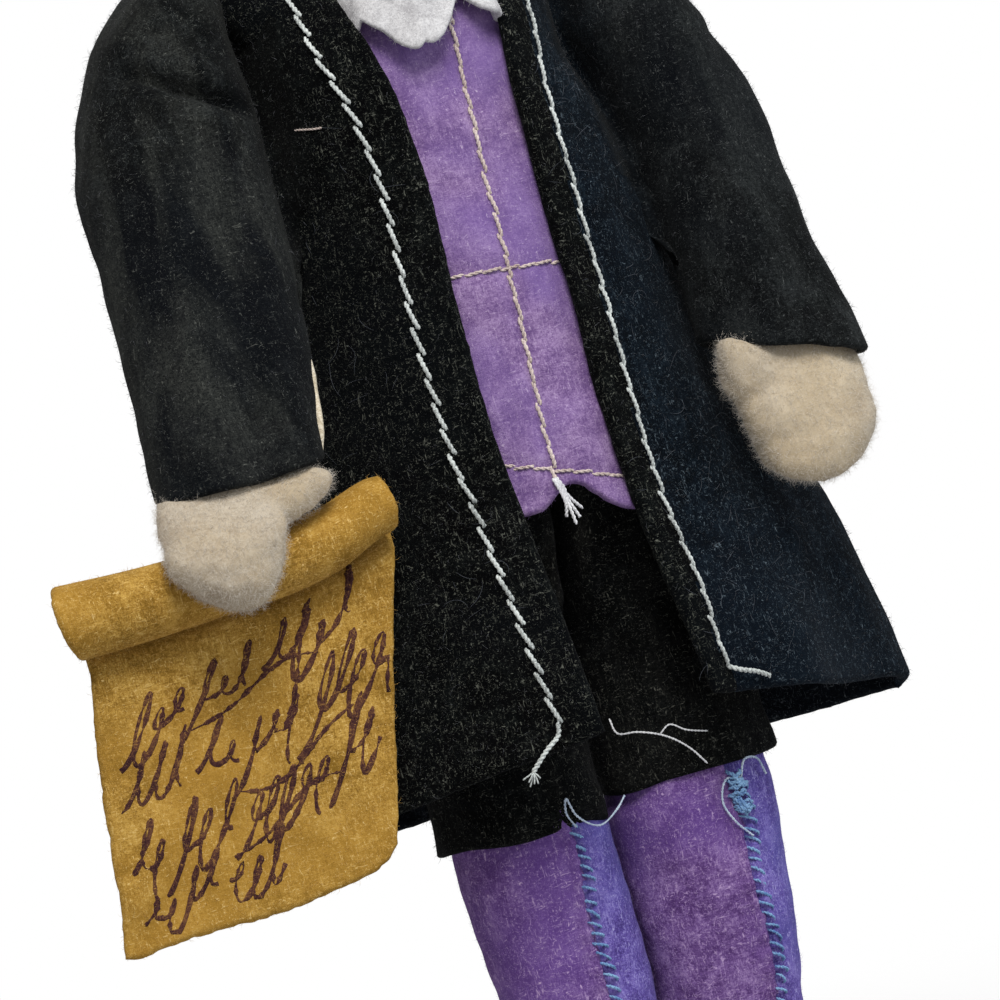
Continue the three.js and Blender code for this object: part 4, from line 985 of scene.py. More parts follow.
def sleeve_at(arm, u, v, theta, wall):
    c, s = np.cos(2 * math.pi * u), np.sin(2 * math.pi * u)
    i82, o82 = float(along(arm["inner"], 82)), float(along(arm["outer"], 82))
    guess = mix(arm["cuff"]((i82 + o82) / 2 + c * (o82 - i82) / 2), SHOULDER_Z, v)
    z = np.where(theta > 0, SHOULDER_Z, guess)
    k = np.cos(theta)
    inner = along(arm["inner"], z) + wall
    outer = mix(along(arm["inner"], z), along(arm["outer"], z), np.maximum(k, 0) ** arm["cap"] * (1 - arm["slope"] * np.sin(theta))) - wall * np.where(theta > 0, np.maximum(k, 1e-6) ** 0.3, 1)
    half = np.maximum(0.02, outer - inner) / 2
    x = (inner + outer) / 2 + np.sign(c) * np.abs(c) ** 0.8 * half
    y = -(SHOULDER_Z - z) * arm["lean"] + np.sign(s) * np.abs(s) ** 0.85 * (along(SLEEVE_D, z) - wall) * np.maximum(k, 0)
    up = np.where(theta > 0, SHOULDER_Z + (SHOULDER_R + 0.2 - wall) * np.sin(theta), z)
    return np.stack(np.broadcast_arrays(arm["sign"] * x, y, up), -1)


_sl, _sl2, _sl3 = waves(111, 16), waves(112, 6.5), waves(113, 3.2)


def sleeve_wave(p, sign):
    z = p[..., 2]
    ax = np.abs(p[..., 0])
    # creases that run down and out from the shoulder, and soft breaks at the elbow
    sh = np.sin((z * 0.9 - ax * 0.55 + 1.5 * np.sin(ax * 0.3)) * 0.95) * 0.22 * np.exp(-((z - 121) / 7.0) ** 2) * step01(18.5, 24, ax)
    el = np.sin((z + 0.35 * ax * 1.2) * 0.75 + sign) * 0.14 * np.exp(-((z - 101) / 8.0) ** 2)
    cu = 0.4 * np.sin(np.arctan2(p[..., 1] + 14, p[..., 0]) * 4 + sign) * (1 - step01(80, 92, z))
    front = step01(3, -3, p[..., 1] + (SHOULDER_Z - z) * 0.3)
    if sign < 0:
        # one deep crease across the top of the sleeve, puffed above and below
        d = z - (118.0 + 0.553 * (ax - 18.0))
        on = step01(18.6, 21.5, ax) * step01(33.5, 27.5, ax) * front
        sh = (-2.1 * np.exp(-(d / 0.85) ** 2) + 0.6 * np.exp(-((d - 2.6) / 1.8) ** 2) + 0.55 * np.exp(-((d + 2.6) / 1.9) ** 2)) * on + 0.3 * sh
        t = (ax - along([[76, 25.4], [92, 22.0], [105, 19.5], [120, 17.9]], z)) / along([[76, 19.4], [92, 20.4], [105, 20.8], [120, 19.1]], z)
        drop = step01(117, 108, z) * front
        el = el * 0.6 + (0.6 * np.exp(-((t - 0.66) / 0.13) ** 2) - 0.55 * np.exp(-((t - 0.40) / 0.10) ** 2) + 0.3 * np.exp(-((t - 0.2) / 0.09) ** 2)) * drop
    else:
        t = (ax - 20.6) / 15.2
        drop = step01(119, 110, z) * front
        el = el * 0.6 + (0.55 * np.exp(-((t - 0.42) / 0.16) ** 2) - 0.4 * np.exp(-((t - 0.72) / 0.1) ** 2)) * drop
    return 0.14 * _sl(p) + 0.06 * _sl2(p) + 0.02 * _sl3(p) + sh + el + cu


def coat_y(side, x, z, gap):
    """How far out the coat's face side lies, front (side -1) or back, at x and height z."""
    zz = np.minimum(z, START)
    A = half_width(zz, np.sign(x))
    B = along(COAT_FRONT if side < 0 else COAT_BACK, zz)
    inside = np.clip(1 - (np.abs(x) / A) ** along(COAT_P, zz), 0, 1)
    th = np.clip((z - START) / (shoulder_line(x) - START), 0, 1)
    y = SEAM_Y + side * (0.2 + (B - 0.2) * inside ** (1 / along(COAT_Q, zz)) * np.sqrt(1 - th * th))
    p = np.stack(np.broadcast_arrays(x, y, z), -1)
    return y + side * (coat_wave(p) + gap)


def soft_max(a, b, k):
    h = np.maximum(k - np.abs(a - b), 0) / np.maximum(k, 1e-6)
    return np.maximum(a, b) + h * h * k * 0.25


def sleeve_ring(arm, u, v, theta):
    """A ring of the sleeve's face side. Above the underarm it runs on over the coat without a seam; below, it hangs clear of it."""
    sign = arm["sign"]
    p = sleeve_at(arm, u, v, theta, 0.0)
    c, s_ = np.cos(2 * math.pi * u), np.sin(2 * math.pi * u)
    z = p[..., 2]
    inner = c < 0
    lo = sleeve_at(arm, np.full_like(u, 0.5), v, theta, 0.0)
    mid_x, half = None, None
    zz = np.minimum(z, SHOULDER_Z)
    k = np.cos(theta)
    x_in = along(arm["inner"], zz)
    x_out = mix(x_in, along(arm["outer"], zz), np.maximum(k, 0) ** arm["cap"] * (1 - arm["slope"] * np.sin(theta)))
    half = np.maximum(0.02, (x_out - x_in) / 2)
    mid_x = (x_in + x_out) / 2
    yc = -(SHOULDER_Z - zz) * arm["lean"]
    depth = along(SLEEVE_D, zz) * np.maximum(k, 0)
    low = arm["under"]
    ext = 5.0 * step01(low - 2, low + 11, z) * (1 - 0.5 * step01(128, 134, z))
    held = step01(low, low + 10, z)
    w = np.abs(c) ** 0.8
    ax = mid_x - w * (half + ext)
    r = np.abs(ax - mid_x) / half
    hs = np.where(r < 1, depth * np.clip(1 - r ** 2.5, 0, 1) ** 0.425, -(r - 1) * half * 1.5 * held)
    front = s_ < 0
    side = np.where(front, -1.0, 1.0)
    hc = np.where(front, -coat_y(-1, sign * ax, z, 0.12), coat_y(1, sign * ax, z, 0.12))
    own = np.where(front, -yc, yc) + hs
    fil = 4.5 * step01(low - 3, low + 11, z) * (1 - 0.6 * step01(128, 134, z))
    h = mix(own, soft_max(own, hc, fil), held)
    h = h - 0.9 * step01(0.84, 1.0, w) * (ext > 0.05)
    y = np.where(front, -h, h)
    # below the underarm the inner edge closes on itself unless the coat holds it off
    # at the top it sinks into the line of the coat's shoulder
    sunk = mix(z, np.minimum(z, shoulder_line(ax) - 1.1), step01(0.45, 0.9, w))
    q = np.stack([sign * ax, y, sunk], -1)
    out = np.where(inner[..., None], q, p)
    hold = np.where(inner, step01(0.45, 0.9, w) * step01(low - 7, low + 5, z), 0.0)
    return out, hold


arm_objs = {}
ARM_SPAN = {}
nu = 112
for name, arm in ARMS.items():
    body, sign = name + "_arm", arm["sign"]
    u = (np.arange(nu) + 0.5) / nu
    rows = [(v, 0.0) for v in np.linspace(0, 1, 84)] + [(1.0, t) for t in np.radians(np.linspace(4, 87.5, 24))]
    built = [sleeve_ring(arm, u, np.full_like(u, v), np.full_like(u, th)) for v, th in rows]
    rings = np.array([q[0] for q in built])
    hold = np.array([q[1] for q in built])
    nn = normals_of(rings.transpose(1, 0, 2), True).transpose(1, 0, 2)
    centre = rings.mean(1, keepdims=True)
    if (nn[:60] * (rings - centre)[:60]).sum() < 0:
        nn = -nn
    bulge = sleeve_wave(rings, sign) * (1 - hold)
    outer = rings + nn * bulge[..., None]
    n0 = nn[0]
    lip = [outer[0] - n0 * d + np.array([-sign * arm["drift"] * h, arm["lean"] * h, h]) for d, h in ((2.2, 6.5), (1.5, 2.6), (1.2, 0.6), (1.0, -0.15), (0.6, -0.35), (0.2, -0.25))]
    ob = lofted("sleeve_%s_cloth" % name, np.concatenate([lip, outer]), SLEEVE_MATS[name])
    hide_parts("sleeve_" + name)
    ARM_SPAN[name] = ("torso", body, V((sign * 15.5, 0, 110.0)), V((sign * 21.5, 0, 107.4)))
    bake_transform(ob)
    arm_objs["sleeve_" + name] = ob

    # stuffing inside the sleeve
    rows = [(v, 0.0) for v in np.linspace((96 - 82) / 45.0, 0.64, 26)]
    rings = np.array([sleeve_at(arm, np.arange(40) / 40, np.full(40, v), np.full(40, th), 4.4) for v, th in rows]) + np.array([sign * 1.6, 0, 0])
    ob = lofted("arm_stuffing_" + name, rings, LINING_MAT)
    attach(ob, body)
    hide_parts("arm_core_" + name)

# ------------------------------------------------------------------ hands
HAND_RIGHT = np.array([[69.5, -37.9, -22.4, 0.3, 0.2], [70.0, -37.9, -22.4, 1.9, 1.5], [71.2, -38.0, -22.4, 3.2, 2.4], [73.2, -38.3, -22.4, 4.8, 3.2], [75.6, -38.6, -22.3, 6.0, 3.5],
                       [77.5, -38.2, -21.3, 6.5, 3.5], [79.5, -37.3, -19.3, 6.6, 3.4], [82.0, -36.0, -16.8, 6.8, 3.3], [86, -34.2, -14.9, 6.6, 3.4], [96.0, -31.5, -11.2, 5.6, 3.6]])
HAND_LEFT = np.array([[65.9, 27.2, -17.6, 0.3, 0.2], [66.5, 27.3, -17.5, 2.6, 1.9], [67.9, 27.8, -17.1, 4.9, 3.2], [69.6, 28.1, -16.7, 6.0, 3.9], [73.0, 28.4, -15.8, 6.9, 4.3], [76.0, 28.5, -14.9, 7.0, 4.3],
                      [78.5, 28.4, -14.1, 6.9, 4.1], [81.0, 28.2, -13.4, 6.7, 4.0], [84.0, 28.0, -12.6, 6.3, 3.9], [90, 27.8, -10.7, 5.8, 4.0], [96.0, 27.4, -8.9, 5.2, 4.0]])


def remeshed(name, arrays, voxel_mm, mat, smooth_steps, wave):
    """Several closed bodies fused into one stuffed skin."""
    v, f = join_arrays(arrays)
    tmp = add(name + "_tmp", v, f, mat)
    mod = tmp.modifiers.new("remesh", "REMESH")
    mod.mode = "VOXEL"
    mod.voxel_size = voxel_mm / 1000.0
    sm = tmp.modifiers.new("smooth", "SMOOTH")
    sm.factor = 0.5
    sm.iterations = smooth_steps
    dg = bpy.context.evaluated_depsgraph_get()
    me = bpy.data.meshes.new_from_object(tmp.evaluated_get(dg))
    bpy.data.objects.remove(tmp)
    n = len(me.vertices)
    co = np.empty(n * 3, np.float32)
    no = np.empty(n * 3, np.float32)
    me.vertices.foreach_get("co", co)
    me.vertices.foreach_get("normal", no)
    co, no = co.reshape(-1, 3).astype(float), no.reshape(-1, 3).astype(float)
    mm = co * 1000.0 + np.array([0, 0, EYE])
    co = co + no * (wave(mm) / 1000.0)[:, None]
    me.vertices.foreach_set("co", co.astype(np.float32).ravel())
    me.materials.clear()
    me.materials.append(mat)
    me.update()
    me.shade_smooth()
    me.name = name
    ob = bpy.data.objects.new(name, me)
    bpy.context.scene.collection.objects.link(ob)
    return ob


def ellipsoid(centre, radii, turn=(0, 0, 0), n=20, m=28):
    th = np.linspace(0.06, math.pi - 0.06, n)
    ph = np.linspace(0, 2 * math.pi, m, endpoint=False)
    T, P = np.meshgrid(th, ph, indexing="ij")
    p = np.stack([np.sin(T) * np.cos(P), np.sin(T) * np.sin(P), np.cos(T)], -1) * np.array(radii)
    R = np.array(Matrix.Rotation(turn[2], 3, "Z") @ Matrix.Rotation(turn[1], 3, "Y") @ Matrix.Rotation(turn[0], 3, "X"))
    p = p @ R.T + np.array(centre)
    v = np.concatenate([p.reshape(-1, 3), [p[0].mean(0)], [p[-1].mean(0)]])
    f = []
    for i in range(n - 1):
        for k in range(m):
            q = (k + 1) % m
            f.append([i * m + k, (i + 1) * m + k, (i + 1) * m + q, i * m + q])
    for k in range(m):
        q = (k + 1) % m
        f.append([n * m, k, q])
        f.append([n * m + 1, (n - 1) * m + q, (n - 1) * m + k])
    return v, f


for name, rows, thumb in (("right", HAND_RIGHT, ((-29.9, -19.0, 79.8), (5.0, 2.5, 2.4), (0, math.radians(-10), 0))),
                          ("left", HAND_LEFT, ((23.6, -15.2, 79.0), (3.4, 2.9, 5.2), (0, math.radians(-16), 0)))):
    zl = np.concatenate([np.linspace(rows[0, 0], rows[2, 0], 10), np.linspace(rows[2, 0] + 0.4, rows[-1, 0], 44)])
    a = np.linspace(0, 2 * math.pi, 40, endpoint=False)
    rings = []
    for z in zl:
        cx, cy, wx, wy = (float(along(rows[:, [0, k]], z)) for k in (1, 2, 3, 4))
        rings.append(np.stack([cx + wx * np.sign(np.cos(a)) * np.abs(np.cos(a)) ** 0.85, cy + wy * np.sign(np.sin(a)) * np.abs(np.sin(a)) ** 0.85, np.full_like(a, z)], -1))
    rings = np.array(rings)
    n, m, _ = rings.shape
    v = np.concatenate([rings.reshape(-1, 3), [rings[0].mean(0)], [rings[-1].mean(0)]])
    f = [[i * m + k, i * m + (k + 1) % m, (i + 1) * m + (k + 1) % m, (i + 1) * m + k] for i in range(n - 1) for k in range(m)]
    f += [[n * m, (k + 1) % m, k] for k in range(m)] + [[n * m + 1, (n - 1) * m + k, (n - 1) * m + (k + 1) % m] for k in range(m)]
    wv, wf = waves(121, 5.5), waves(122, 2.0)
    ob = remeshed("hand_%s_mitten" % name, [(v, f), ellipsoid(*thumb)], 0.4, HAND_MAT, 8, lambda p: 0.16 * wv(p) + 0.04 * wf(p))
    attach(ob, name + "_arm")
    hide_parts("hand_" + name)
    arm_objs["hand_" + name] = ob

# cream edge of the arm lining that shows in the sleeve's inner seam
zz = np.linspace(83.0, 92.5, 30)
arm = ARMS["right"]
sx = -(along(arm["inner"], zz) + 0.55)
path = np.stack([sx, -(SHOULDER_Z - zz) * arm["lean"] - 2.6 + 0.25 * np.sin(zz), zz], -1)
v, f = tube_arrays(path, 0.42 * np.clip(np.minimum(zz - 82.4, 93.1 - zz) / 2.4, 0.25, 1), 8)
ob = add("sleeve_lining_edge", v, f, LINING_MAT, outward=True)
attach(ob, "right_arm")

# ------------------------------------------------------------------ scroll
ROLL_DIR = unit(ROLL_B - ROLL_A)


def roll_z(x):
    return along([[-62, 72.7], [-45, 72.9], [-34, 73.0], [-26, 74.0], [-18, 75.9]], x)


SHEET_HALF = 0.62
_sc, _sc2 = waves(131, 20), waves(132, 7)


def sheet_point(s, t):
    """Middle of the hanging sheet: s across, t from the bottom (0) to where it meets the roll (1)."""
    topx = mix(-52.8, -17.6, s)
    lowx = mix(-58.2, -27.4, s)
    low_z = mix(38.2, 39.9, s) + 2.0 * np.maximum(0, (s - 0.86) / 0.14) ** 2.2 + 0.7 * np.maximum(0, (0.06 - s) / 0.06) ** 2 + 0.35 * np.sin(s * 8)
    topz = roll_z(topx)
    x = mix(lowx, topx, t) + 0.35 * np.sin(t * 5 + 1) * (1 - t)
    z = mix(low_z, topz, t)
    y = SHEET_Y + (0.25 * np.sin(math.pi * t) + (-0.9 * (s - 0.45) ** 2 * 4 + 0.5) * (1 - t) * 0.7) - 1.5 * step01(0.925, 0.855, t)
    return np.stack(np.broadcast_arrays(x, y, z), -1)


nS = 76
S = spaced(nS, 36, SHEET_HALF)
t_rows = np.concatenate([spaced(46, 34, SHEET_HALF)[:-7] * 0.985, [0.985, 1.0]])
t_rows = np.unique(t_rows)
cols = []
turn = np.radians(np.linspace(0, 600, 96))[1:]
for s in S:
    low = sheet_point(np.full_like(t_rows, s), t_rows)
    top = low[-1]
    # roll: the felt turns up over the top towards the front, then round and round inwards
    axis_pt = np.array([top[0], ROLL_A[1], roll_z(top[0])])
    r0 = top[1] - axis_pt[1]
    rad_ = np.maximum(0.7, r0 - np.maximum(0, turn - 2.2) * (1.34 / (2 * math.pi)))
    rad_ = rad_ * (1 + 0.10 * (1 - s) + 0.10 * max(0.0, 1 - s / 0.3) * np.clip(turn / 1.2, 0, 1)) * mix(1.0, 0.84, float(step01(0.62, 1.0, s)) * np.clip(turn / 1.2, 0, 1))
    dy, dz = np.cos(turn) * rad_, np.sin(turn) * rad_
    wob = 0.12 * np.sin(top[0] * 0.35 + turn)
    up = np.array([-ROLL_DIR[2], 0, ROLL_DIR[0]])
    sp = axis_pt + (dy + wob * np.cos(turn))[:, None] * np.array([0, 1, 0]) + (dz + wob * np.sin(turn))[:, None] * up
    # the rolled end is a little uneven
    sp[:, 0] += (s - 0.5) * 1.0 * np.sin(turn * 0.7) * 0.5 - max(0.0, 1 - s / 0.4) * (2.3 * np.clip(turn / 1.6, 0, 1) - 0.4 * (sp[:, 1] - axis_pt[1]) * np.clip(turn / 1.6, 0, 1)) - 1.4 * s ** 3 * np.clip(turn / 1.6, 0, 1)
    cols.append(np.concatenate([low, sp]))
mid = np.array(cols)
flatpart = (np.arange(mid.shape[1]) < len(t_rows) - 3)[None, :]
bulge = (0.22 * _sc(mid) + 0.08 * _sc2(mid)) * flatpart
scroll, area, w, l = thick_sheet("scroll_cloth", mid, SHEET_HALF, MUSTARD_MAT, lambda p, n: -n[:, :20, 1], bulge, 0.05, 133)
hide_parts("scroll_roll", "scroll_sheet")
HINGE_UP = np.array([-38.0, SHEET_Y, roll_z(-38.0) - 3.6])
HINGE_DOWN = HINGE_UP - 4.0 * np.array([-ROLL_DIR[2], 0, ROLL_DIR[0]])
FLAP_SPAN = ("right_arm", "scroll", V(HINGE_UP), V(HINGE_DOWN))
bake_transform(scroll)

# loose looped pen flourishes in slanting rows; they are no letters
r = np.random.default_rng(141)
parts = []
_ink = waves(142, 0.9)


def sheet_front(s, t):
    p = sheet_point(s, t)
    e = 1e-3
    n = unit(np.cross(sheet_point(s + e, t) - p, sheet_point(s, t + e) - p))
    n = np.where(n[..., 1:2] > 0, -n, n)
    return p + n * (SHEET_HALF + 0.22 * _sc(p) + 0.08 * _sc2(p))[..., None], n


for t0, s_a, s_b, tall in ((0.63, 0.10, 0.95, 0.17), (0.42, 0.05, 0.95, 0.21), (0.23, 0.05, 0.92, 0.19), (0.08, 0.07, 0.55, 0.14)):
    s = s_a
    while s < s_b - 0.08:
        cyc = int(r.integers(2, 6))
        ph = np.linspace(0, 2 * math.pi * cyc, 26 * cyc + 1)
        turns = ph / (2 * math.pi)
        high = np.interp(turns, np.arange(cyc + 1), r.choice([0.3, 0.45, 1.0], cyc + 1, p=[0.45, 0.25, 0.3]))
        deep = np.interp(turns, np.arange(cyc + 1), r.choice([0.0, 0.0, 0.5], cyc + 1))
        zz = tall * (high * (0.5 - 0.5 * np.cos(ph)) - deep * (0.5 + 0.5 * np.cos(ph)))
        ss = s + turns * r.uniform(0.054, 0.076) + 0.42 * zz + r.uniform(0.018, 0.033) * np.sin(ph)
        tt = t0 + zz + 0.17 * (ss - s_a) + 0.012 * np.sin(ss * 23 + t0)
        ok = (ss < s_b + 0.03) & (tt < 0.905) & (tt > 0.03)
        if ok.sum() > 16:
            ss, tt, ph = ss[ok], tt[ok], ph[ok]
            p, n_ = sheet_front(ss, tt)
            blot = _ink(p)
            rad = np.clip(0.24 + 0.20 * (0.5 + 0.5 * np.sin(ph + 0.8)) + 0.13 * blot, 0.09, 0.56)
            parts.append(tube_arrays(p - n_ * (0.78 * rad - 0.02)[:, None], rad, 8))
        s = float(ss.max()) + r.uniform(0.01, 0.035)
for s0, s1, t0, t1, bow, lean_ in ((0.30, 0.74, 0.60, 0.70, 0.035, 0.5), (0.44, 0.86, 0.385, 0.50, -0.03, 0.4), (0.40, 0.80, 0.20, 0.33, 0.03, 0.6), (0.60, 0.72, 0.52, 0.86, 0.02, 0.3)):
    k_ = np.linspace(0, 1, 60)
    p, n_ = sheet_front(mix(s0, s1, k_) + 0.012 * np.sin(k_ * 5), mix(t0, t1, k_) + bow * np.sin(math.pi * k_) - 0.02 * np.sin(2 * math.pi * k_))
    blot = _ink(p)
    rad = np.clip(0.16 + 0.24 * np.sin(math.pi * k_) ** lean_ + 0.13 * blot, 0.08, 0.56)
    parts.append(tube_arrays(p - n_ * (0.78 * rad - 0.02)[:, None], rad, 8))
v, f = join_arrays(parts)
ink = add("scroll_pen_lines", v, f, INK_MAT)
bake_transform(ink)


# ------------------------------------------------------------------ head
def head_at(polar, az, grow=0.0):
    s, c = np.sin(polar), np.cos(polar)
    low = np.where(c < 0, c * c, 0)
    return np.stack(np.broadcast_arrays((HEAD_W + grow) * s * np.sin(az) * (1 - 0.13 * low), -(HEAD_D + grow) * s * np.cos(az) * (1 - 0.05 * low), HEAD_Z + (HEAD_H + grow) * c), -1)


def on_face(x, z, lift=0.0):
    x, z = np.broadcast_arrays(np.asarray(x, float), np.asarray(z, float))
    c = (z - HEAD_Z) / HEAD_H
    s = np.sqrt(1 - c * c)
    az = np.arcsin(np.clip(x / (HEAD_W * s * (1 - 0.13 * np.where(c < 0, c * c, 0))), -1, 1))
    p = head_at(np.arccos(c), az)
    n = unit((p - np.array([0, 0, HEAD_Z])) / np.array([HEAD_W**2, HEAD_D**2, HEAD_H**2]))
    return p + n * (face_shape(p) + lift)[..., None], n


def face_shape(p):
    """Soft modelling of a calm, plain face: brow, eye hollows, cheeks, chin."""
    x, y, z = p[..., 0], p[..., 1], p[..., 2]
    front = step01(2, -8, y)
    g = lambda cx, cz, wx, wz: np.exp(-((x - cx) / wx) ** 2 - ((z - cz) / wz) ** 2)
    return front * (-0.55 * (g(5.6, 156.4, 3.0, 2.2) + g(-5.6, 156.4, 3.0, 2.2)) + 0.45 * (g(6.4, 149.2, 3.6, 3.2) + g(-6.4, 149.2, 3.6, 3.2))
                    + 0.55 * g(0, 141.2, 3.4, 2.0) - 0.25 * g(0, 144.8, 4.2, 1.0) + 0.3 * g(0, 159.8, 7.0, 1.6)) + 0.1 * _hd(p)


_hd = waves(151, 9)
th = np.linspace(0.03, math.pi * 0.885, 96)
az = np.linspace(0, 2 * math.pi, 128, endpoint=False)
T, A = np.meshgrid(th, az, indexing="ij")
rings = head_at(T, A)
n_ = unit((rings - np.array([0, 0, HEAD_Z])) / np.array([HEAD_W**2, HEAD_D**2, HEAD_H**2]))
rings = rings + n_ * face_shape(rings)[..., None]
ob = lofted("head_stuffed", rings, SKIN_MAT)
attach(ob, "head")
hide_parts("head_ball")
head_ob = ob

# nose: a small gathered tuck of the same felt
c, n0 = on_face(np.array([0.0]), np.array([150.6]), 0.55)
wv = waves(152, 2.2)
ob = remeshed("nose_felt", [ellipsoid(c[0] + np.array([0, 0.25, -0.3]), (1.75, 1.5, 1.75)), ellipsoid(c[0] + np.array([0, 0.75, 2.0]), (1.15, 1.05, 3.2), (math.radians(-8), 0, 0))], 0.22, SKIN_MAT, 5, lambda p: 0.04 * wv(p))
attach(ob, "head")
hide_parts("nose")

# eyes: dark bead over a satin-stitched white, with a lid stitch
BEAD, nt0, bb = base_material("bead_gloss", 0.12, 0.6)
tcb = nt0.nodes.new("ShaderNodeTexCoord").outputs["Object"]
nt0.links.new(ramp(nt0, noise(nt0, tcb, 900, 2), [(0.4, srgb(30, 22, 18)), (0.6, srgb(52, 38, 30))]), bb.inputs["Base Color"])
for name, x in (("right", -5.6), ("left", 5.6)):
    parts = []
    for k in np.linspace(-1, 1, 15):
        hgt = 1.55 * math.sqrt(max(0.0, 1 - k * k)) + 0.12
        zz = np.linspace(156.0 - hgt * 0.8, 156.0 + hgt, 9)
        p, n1 = on_face(np.full_like(zz, x + k * 2.35), zz)
        parts.append(tube_arrays(p + n1 * (0.10 + 0.12 * np.sqrt(np.clip(1 - ((zz - 156.1) / (hgt + 0.05)) ** 2, 0, 1)))[:, None], 0.2, 6))
    v, f = join_arrays(parts)
    ob = add("eye_white_" + name, v, f, WHITE_THREAD_MAT)
    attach(ob, "head")
    c, n1 = on_face(np.array([x]), np.array([156.2]), 0.35)
    v, f = ellipsoid(c[0], (1.25, 0.75, 1.35), (0, 0, math.radians(x * 3.6)))
    ob = add("eye_bead_" + name, v, f, BEAD, outward=True)
    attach(ob, "head")
    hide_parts("eye_" + name)
    k = np.linspace(-1, 1, 24)
    p, n1 = on_face(x + k * 2.75, 156.3 + 1.75 * (1 - k * k) - 0.1, 0.22)
    parts = plied(p, 0.24, 1.0)
    p, n1 = on_face(x + k * 2.2, 154.75 - 0.35 * (1 - k * k), 0.12)
    parts += plied(p, 0.12, 0.9)
    v, f = join_arrays(parts)
    ob = add("eye_lid_stitch_" + name, v, f, BROW_MAT)
    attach(ob, "head")
    parts = []
    for q in np.linspace(-1, 1, 13):
        k = np.linspace(-0.5, 0.5, 8)
        p, n1 = on_face(x + q * 2.9 + k * 1.2 * np.sign(x), 160.6 + 0.75 * (1 - q * q) - 0.22 * q * np.sign(x) + k * 0.5, 0.15)
        parts += plied(p, 0.17, 0.9, q * 3, 5)
    v, f = join_arrays(parts)
    ob = add("brow_stitch_" + name, v, f, BROW_MAT)
    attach(ob, "head")

k = np.linspace(-1, 1, 90)
p, n1 = on_face(3.1 * k, 144.5 + 0.75 * k * k + 0.22 * np.exp(-(k / 0.25) ** 2) * -1)
parts = stitch_row(p, n1, 1.15, 0.24, 0.2, 0.05, 155, 0.06)
p, n1 = on_face(1.9 * k, 143.5 + 0.5 * k * k)
parts += stitch_row(p, n1, 1.2, 0.2, 0.16, 0.04, 156, 0.06)
v, f = join_arrays(parts)
ob = add("mouth_stitches", v, f, ROSE_MAT)
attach(ob, "head")
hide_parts("mouth_stitch")


# ------------------------------------------------------------------ hair: locks of combed wool over a wool cap
def rim(az):
    return np.radians(mix(124, 55, (0.5 + 0.5 * np.cos(az)) ** 2.0))


az = np.linspace(0, 2 * math.pi, 110, endpoint=False)
kk = np.linspace(0.015, 1, 40)
K, A = np.meshgrid(kk, az, indexing="ij")
outer = head_at(rim(A) * K, A, 1.35 - 0.95 * K ** 10)
inner = head_at(rim(A) * K, A, 0.25)[::-1]
ob = lofted("hair_cap_wool", np.concatenate([outer, inner]), WOOL_MAT)
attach(ob, "head")
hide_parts("hair_cap")
hair_cap = ob
r = np.random.default_rng(161)
parts = []
AXES = np.array([HEAD_W, HEAD_D, HEAD_H])
n_lock = 300
layers = [(a_, 1.0) for a_ in np.linspace(-2.75, 2.75, n_lock)] + [(float(a_), float(k_)) for a_, k_ in zip(r.uniform(-2.6, 2.6, n_lock // 2), r.uniform(0.3, 0.9, n_lock // 2))]
for a0, k0 in layers:
    # each lock rises out of the hairline or the crown and is combed back to the nape, side by side with the next
    a0 = a0 + r.normal(0, 0.006)
    far = abs(a0) / 2.75
    a1 = np.sign(a0 + 1e-6) * (math.pi - 0.04 - 0.34 * far) + r.normal(0, 0.03)
    t = np.linspace(0, 1, 26)
    d0 = (head_at(np.array(rim(a0) * k0), np.array(a0), 0.0) - np.array([0, 0, HEAD_Z])) / AXES
    d1 = (head_at(np.radians(np.array(108.0 + 13.0 * far + r.normal(0, 1.5))), np.array(a1), 0.0) - np.array([0, 0, HEAD_Z])) / AXES
    lift_up = np.array([0.0, 0.0, 0.62 * math.exp(-(a0 / 1.15) ** 2)])
    path = unit(mix(d0[None], d1[None], t[:, None]) + lift_up[None] * (np.sin(math.pi * t))[:, None])
    grow = mix(0.25 if k0 == 1.0 else 1.0, 1.55, step01(0.0, 0.22, t)) + 0.35 * r.random() * np.sin(math.pi * t) - 0.3 * (t > 0.97)
    q = path * (AXES[None] + grow[:, None]) + np.array([0, 0, HEAD_Z])
    wav = 0.10 * np.sin(t * r.uniform(9, 16) + r.uniform(0, 6))
    q = q + np.cross(unit(np.gradient(q, axis=0)), path) * wav[:, None]
    parts.append(tube_arrays(q, r.uniform(0.30, 0.46) * (0.4 + 0.6 * np.sin(math.pi * np.clip(t * 0.94 + 0.03, 0, 1)) ** 0.5), 5))
v, f = join_arrays(parts)
ob = add("hair_locks", v, f, WOOL_MAT)
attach(ob, "head")
hair_locks = ob
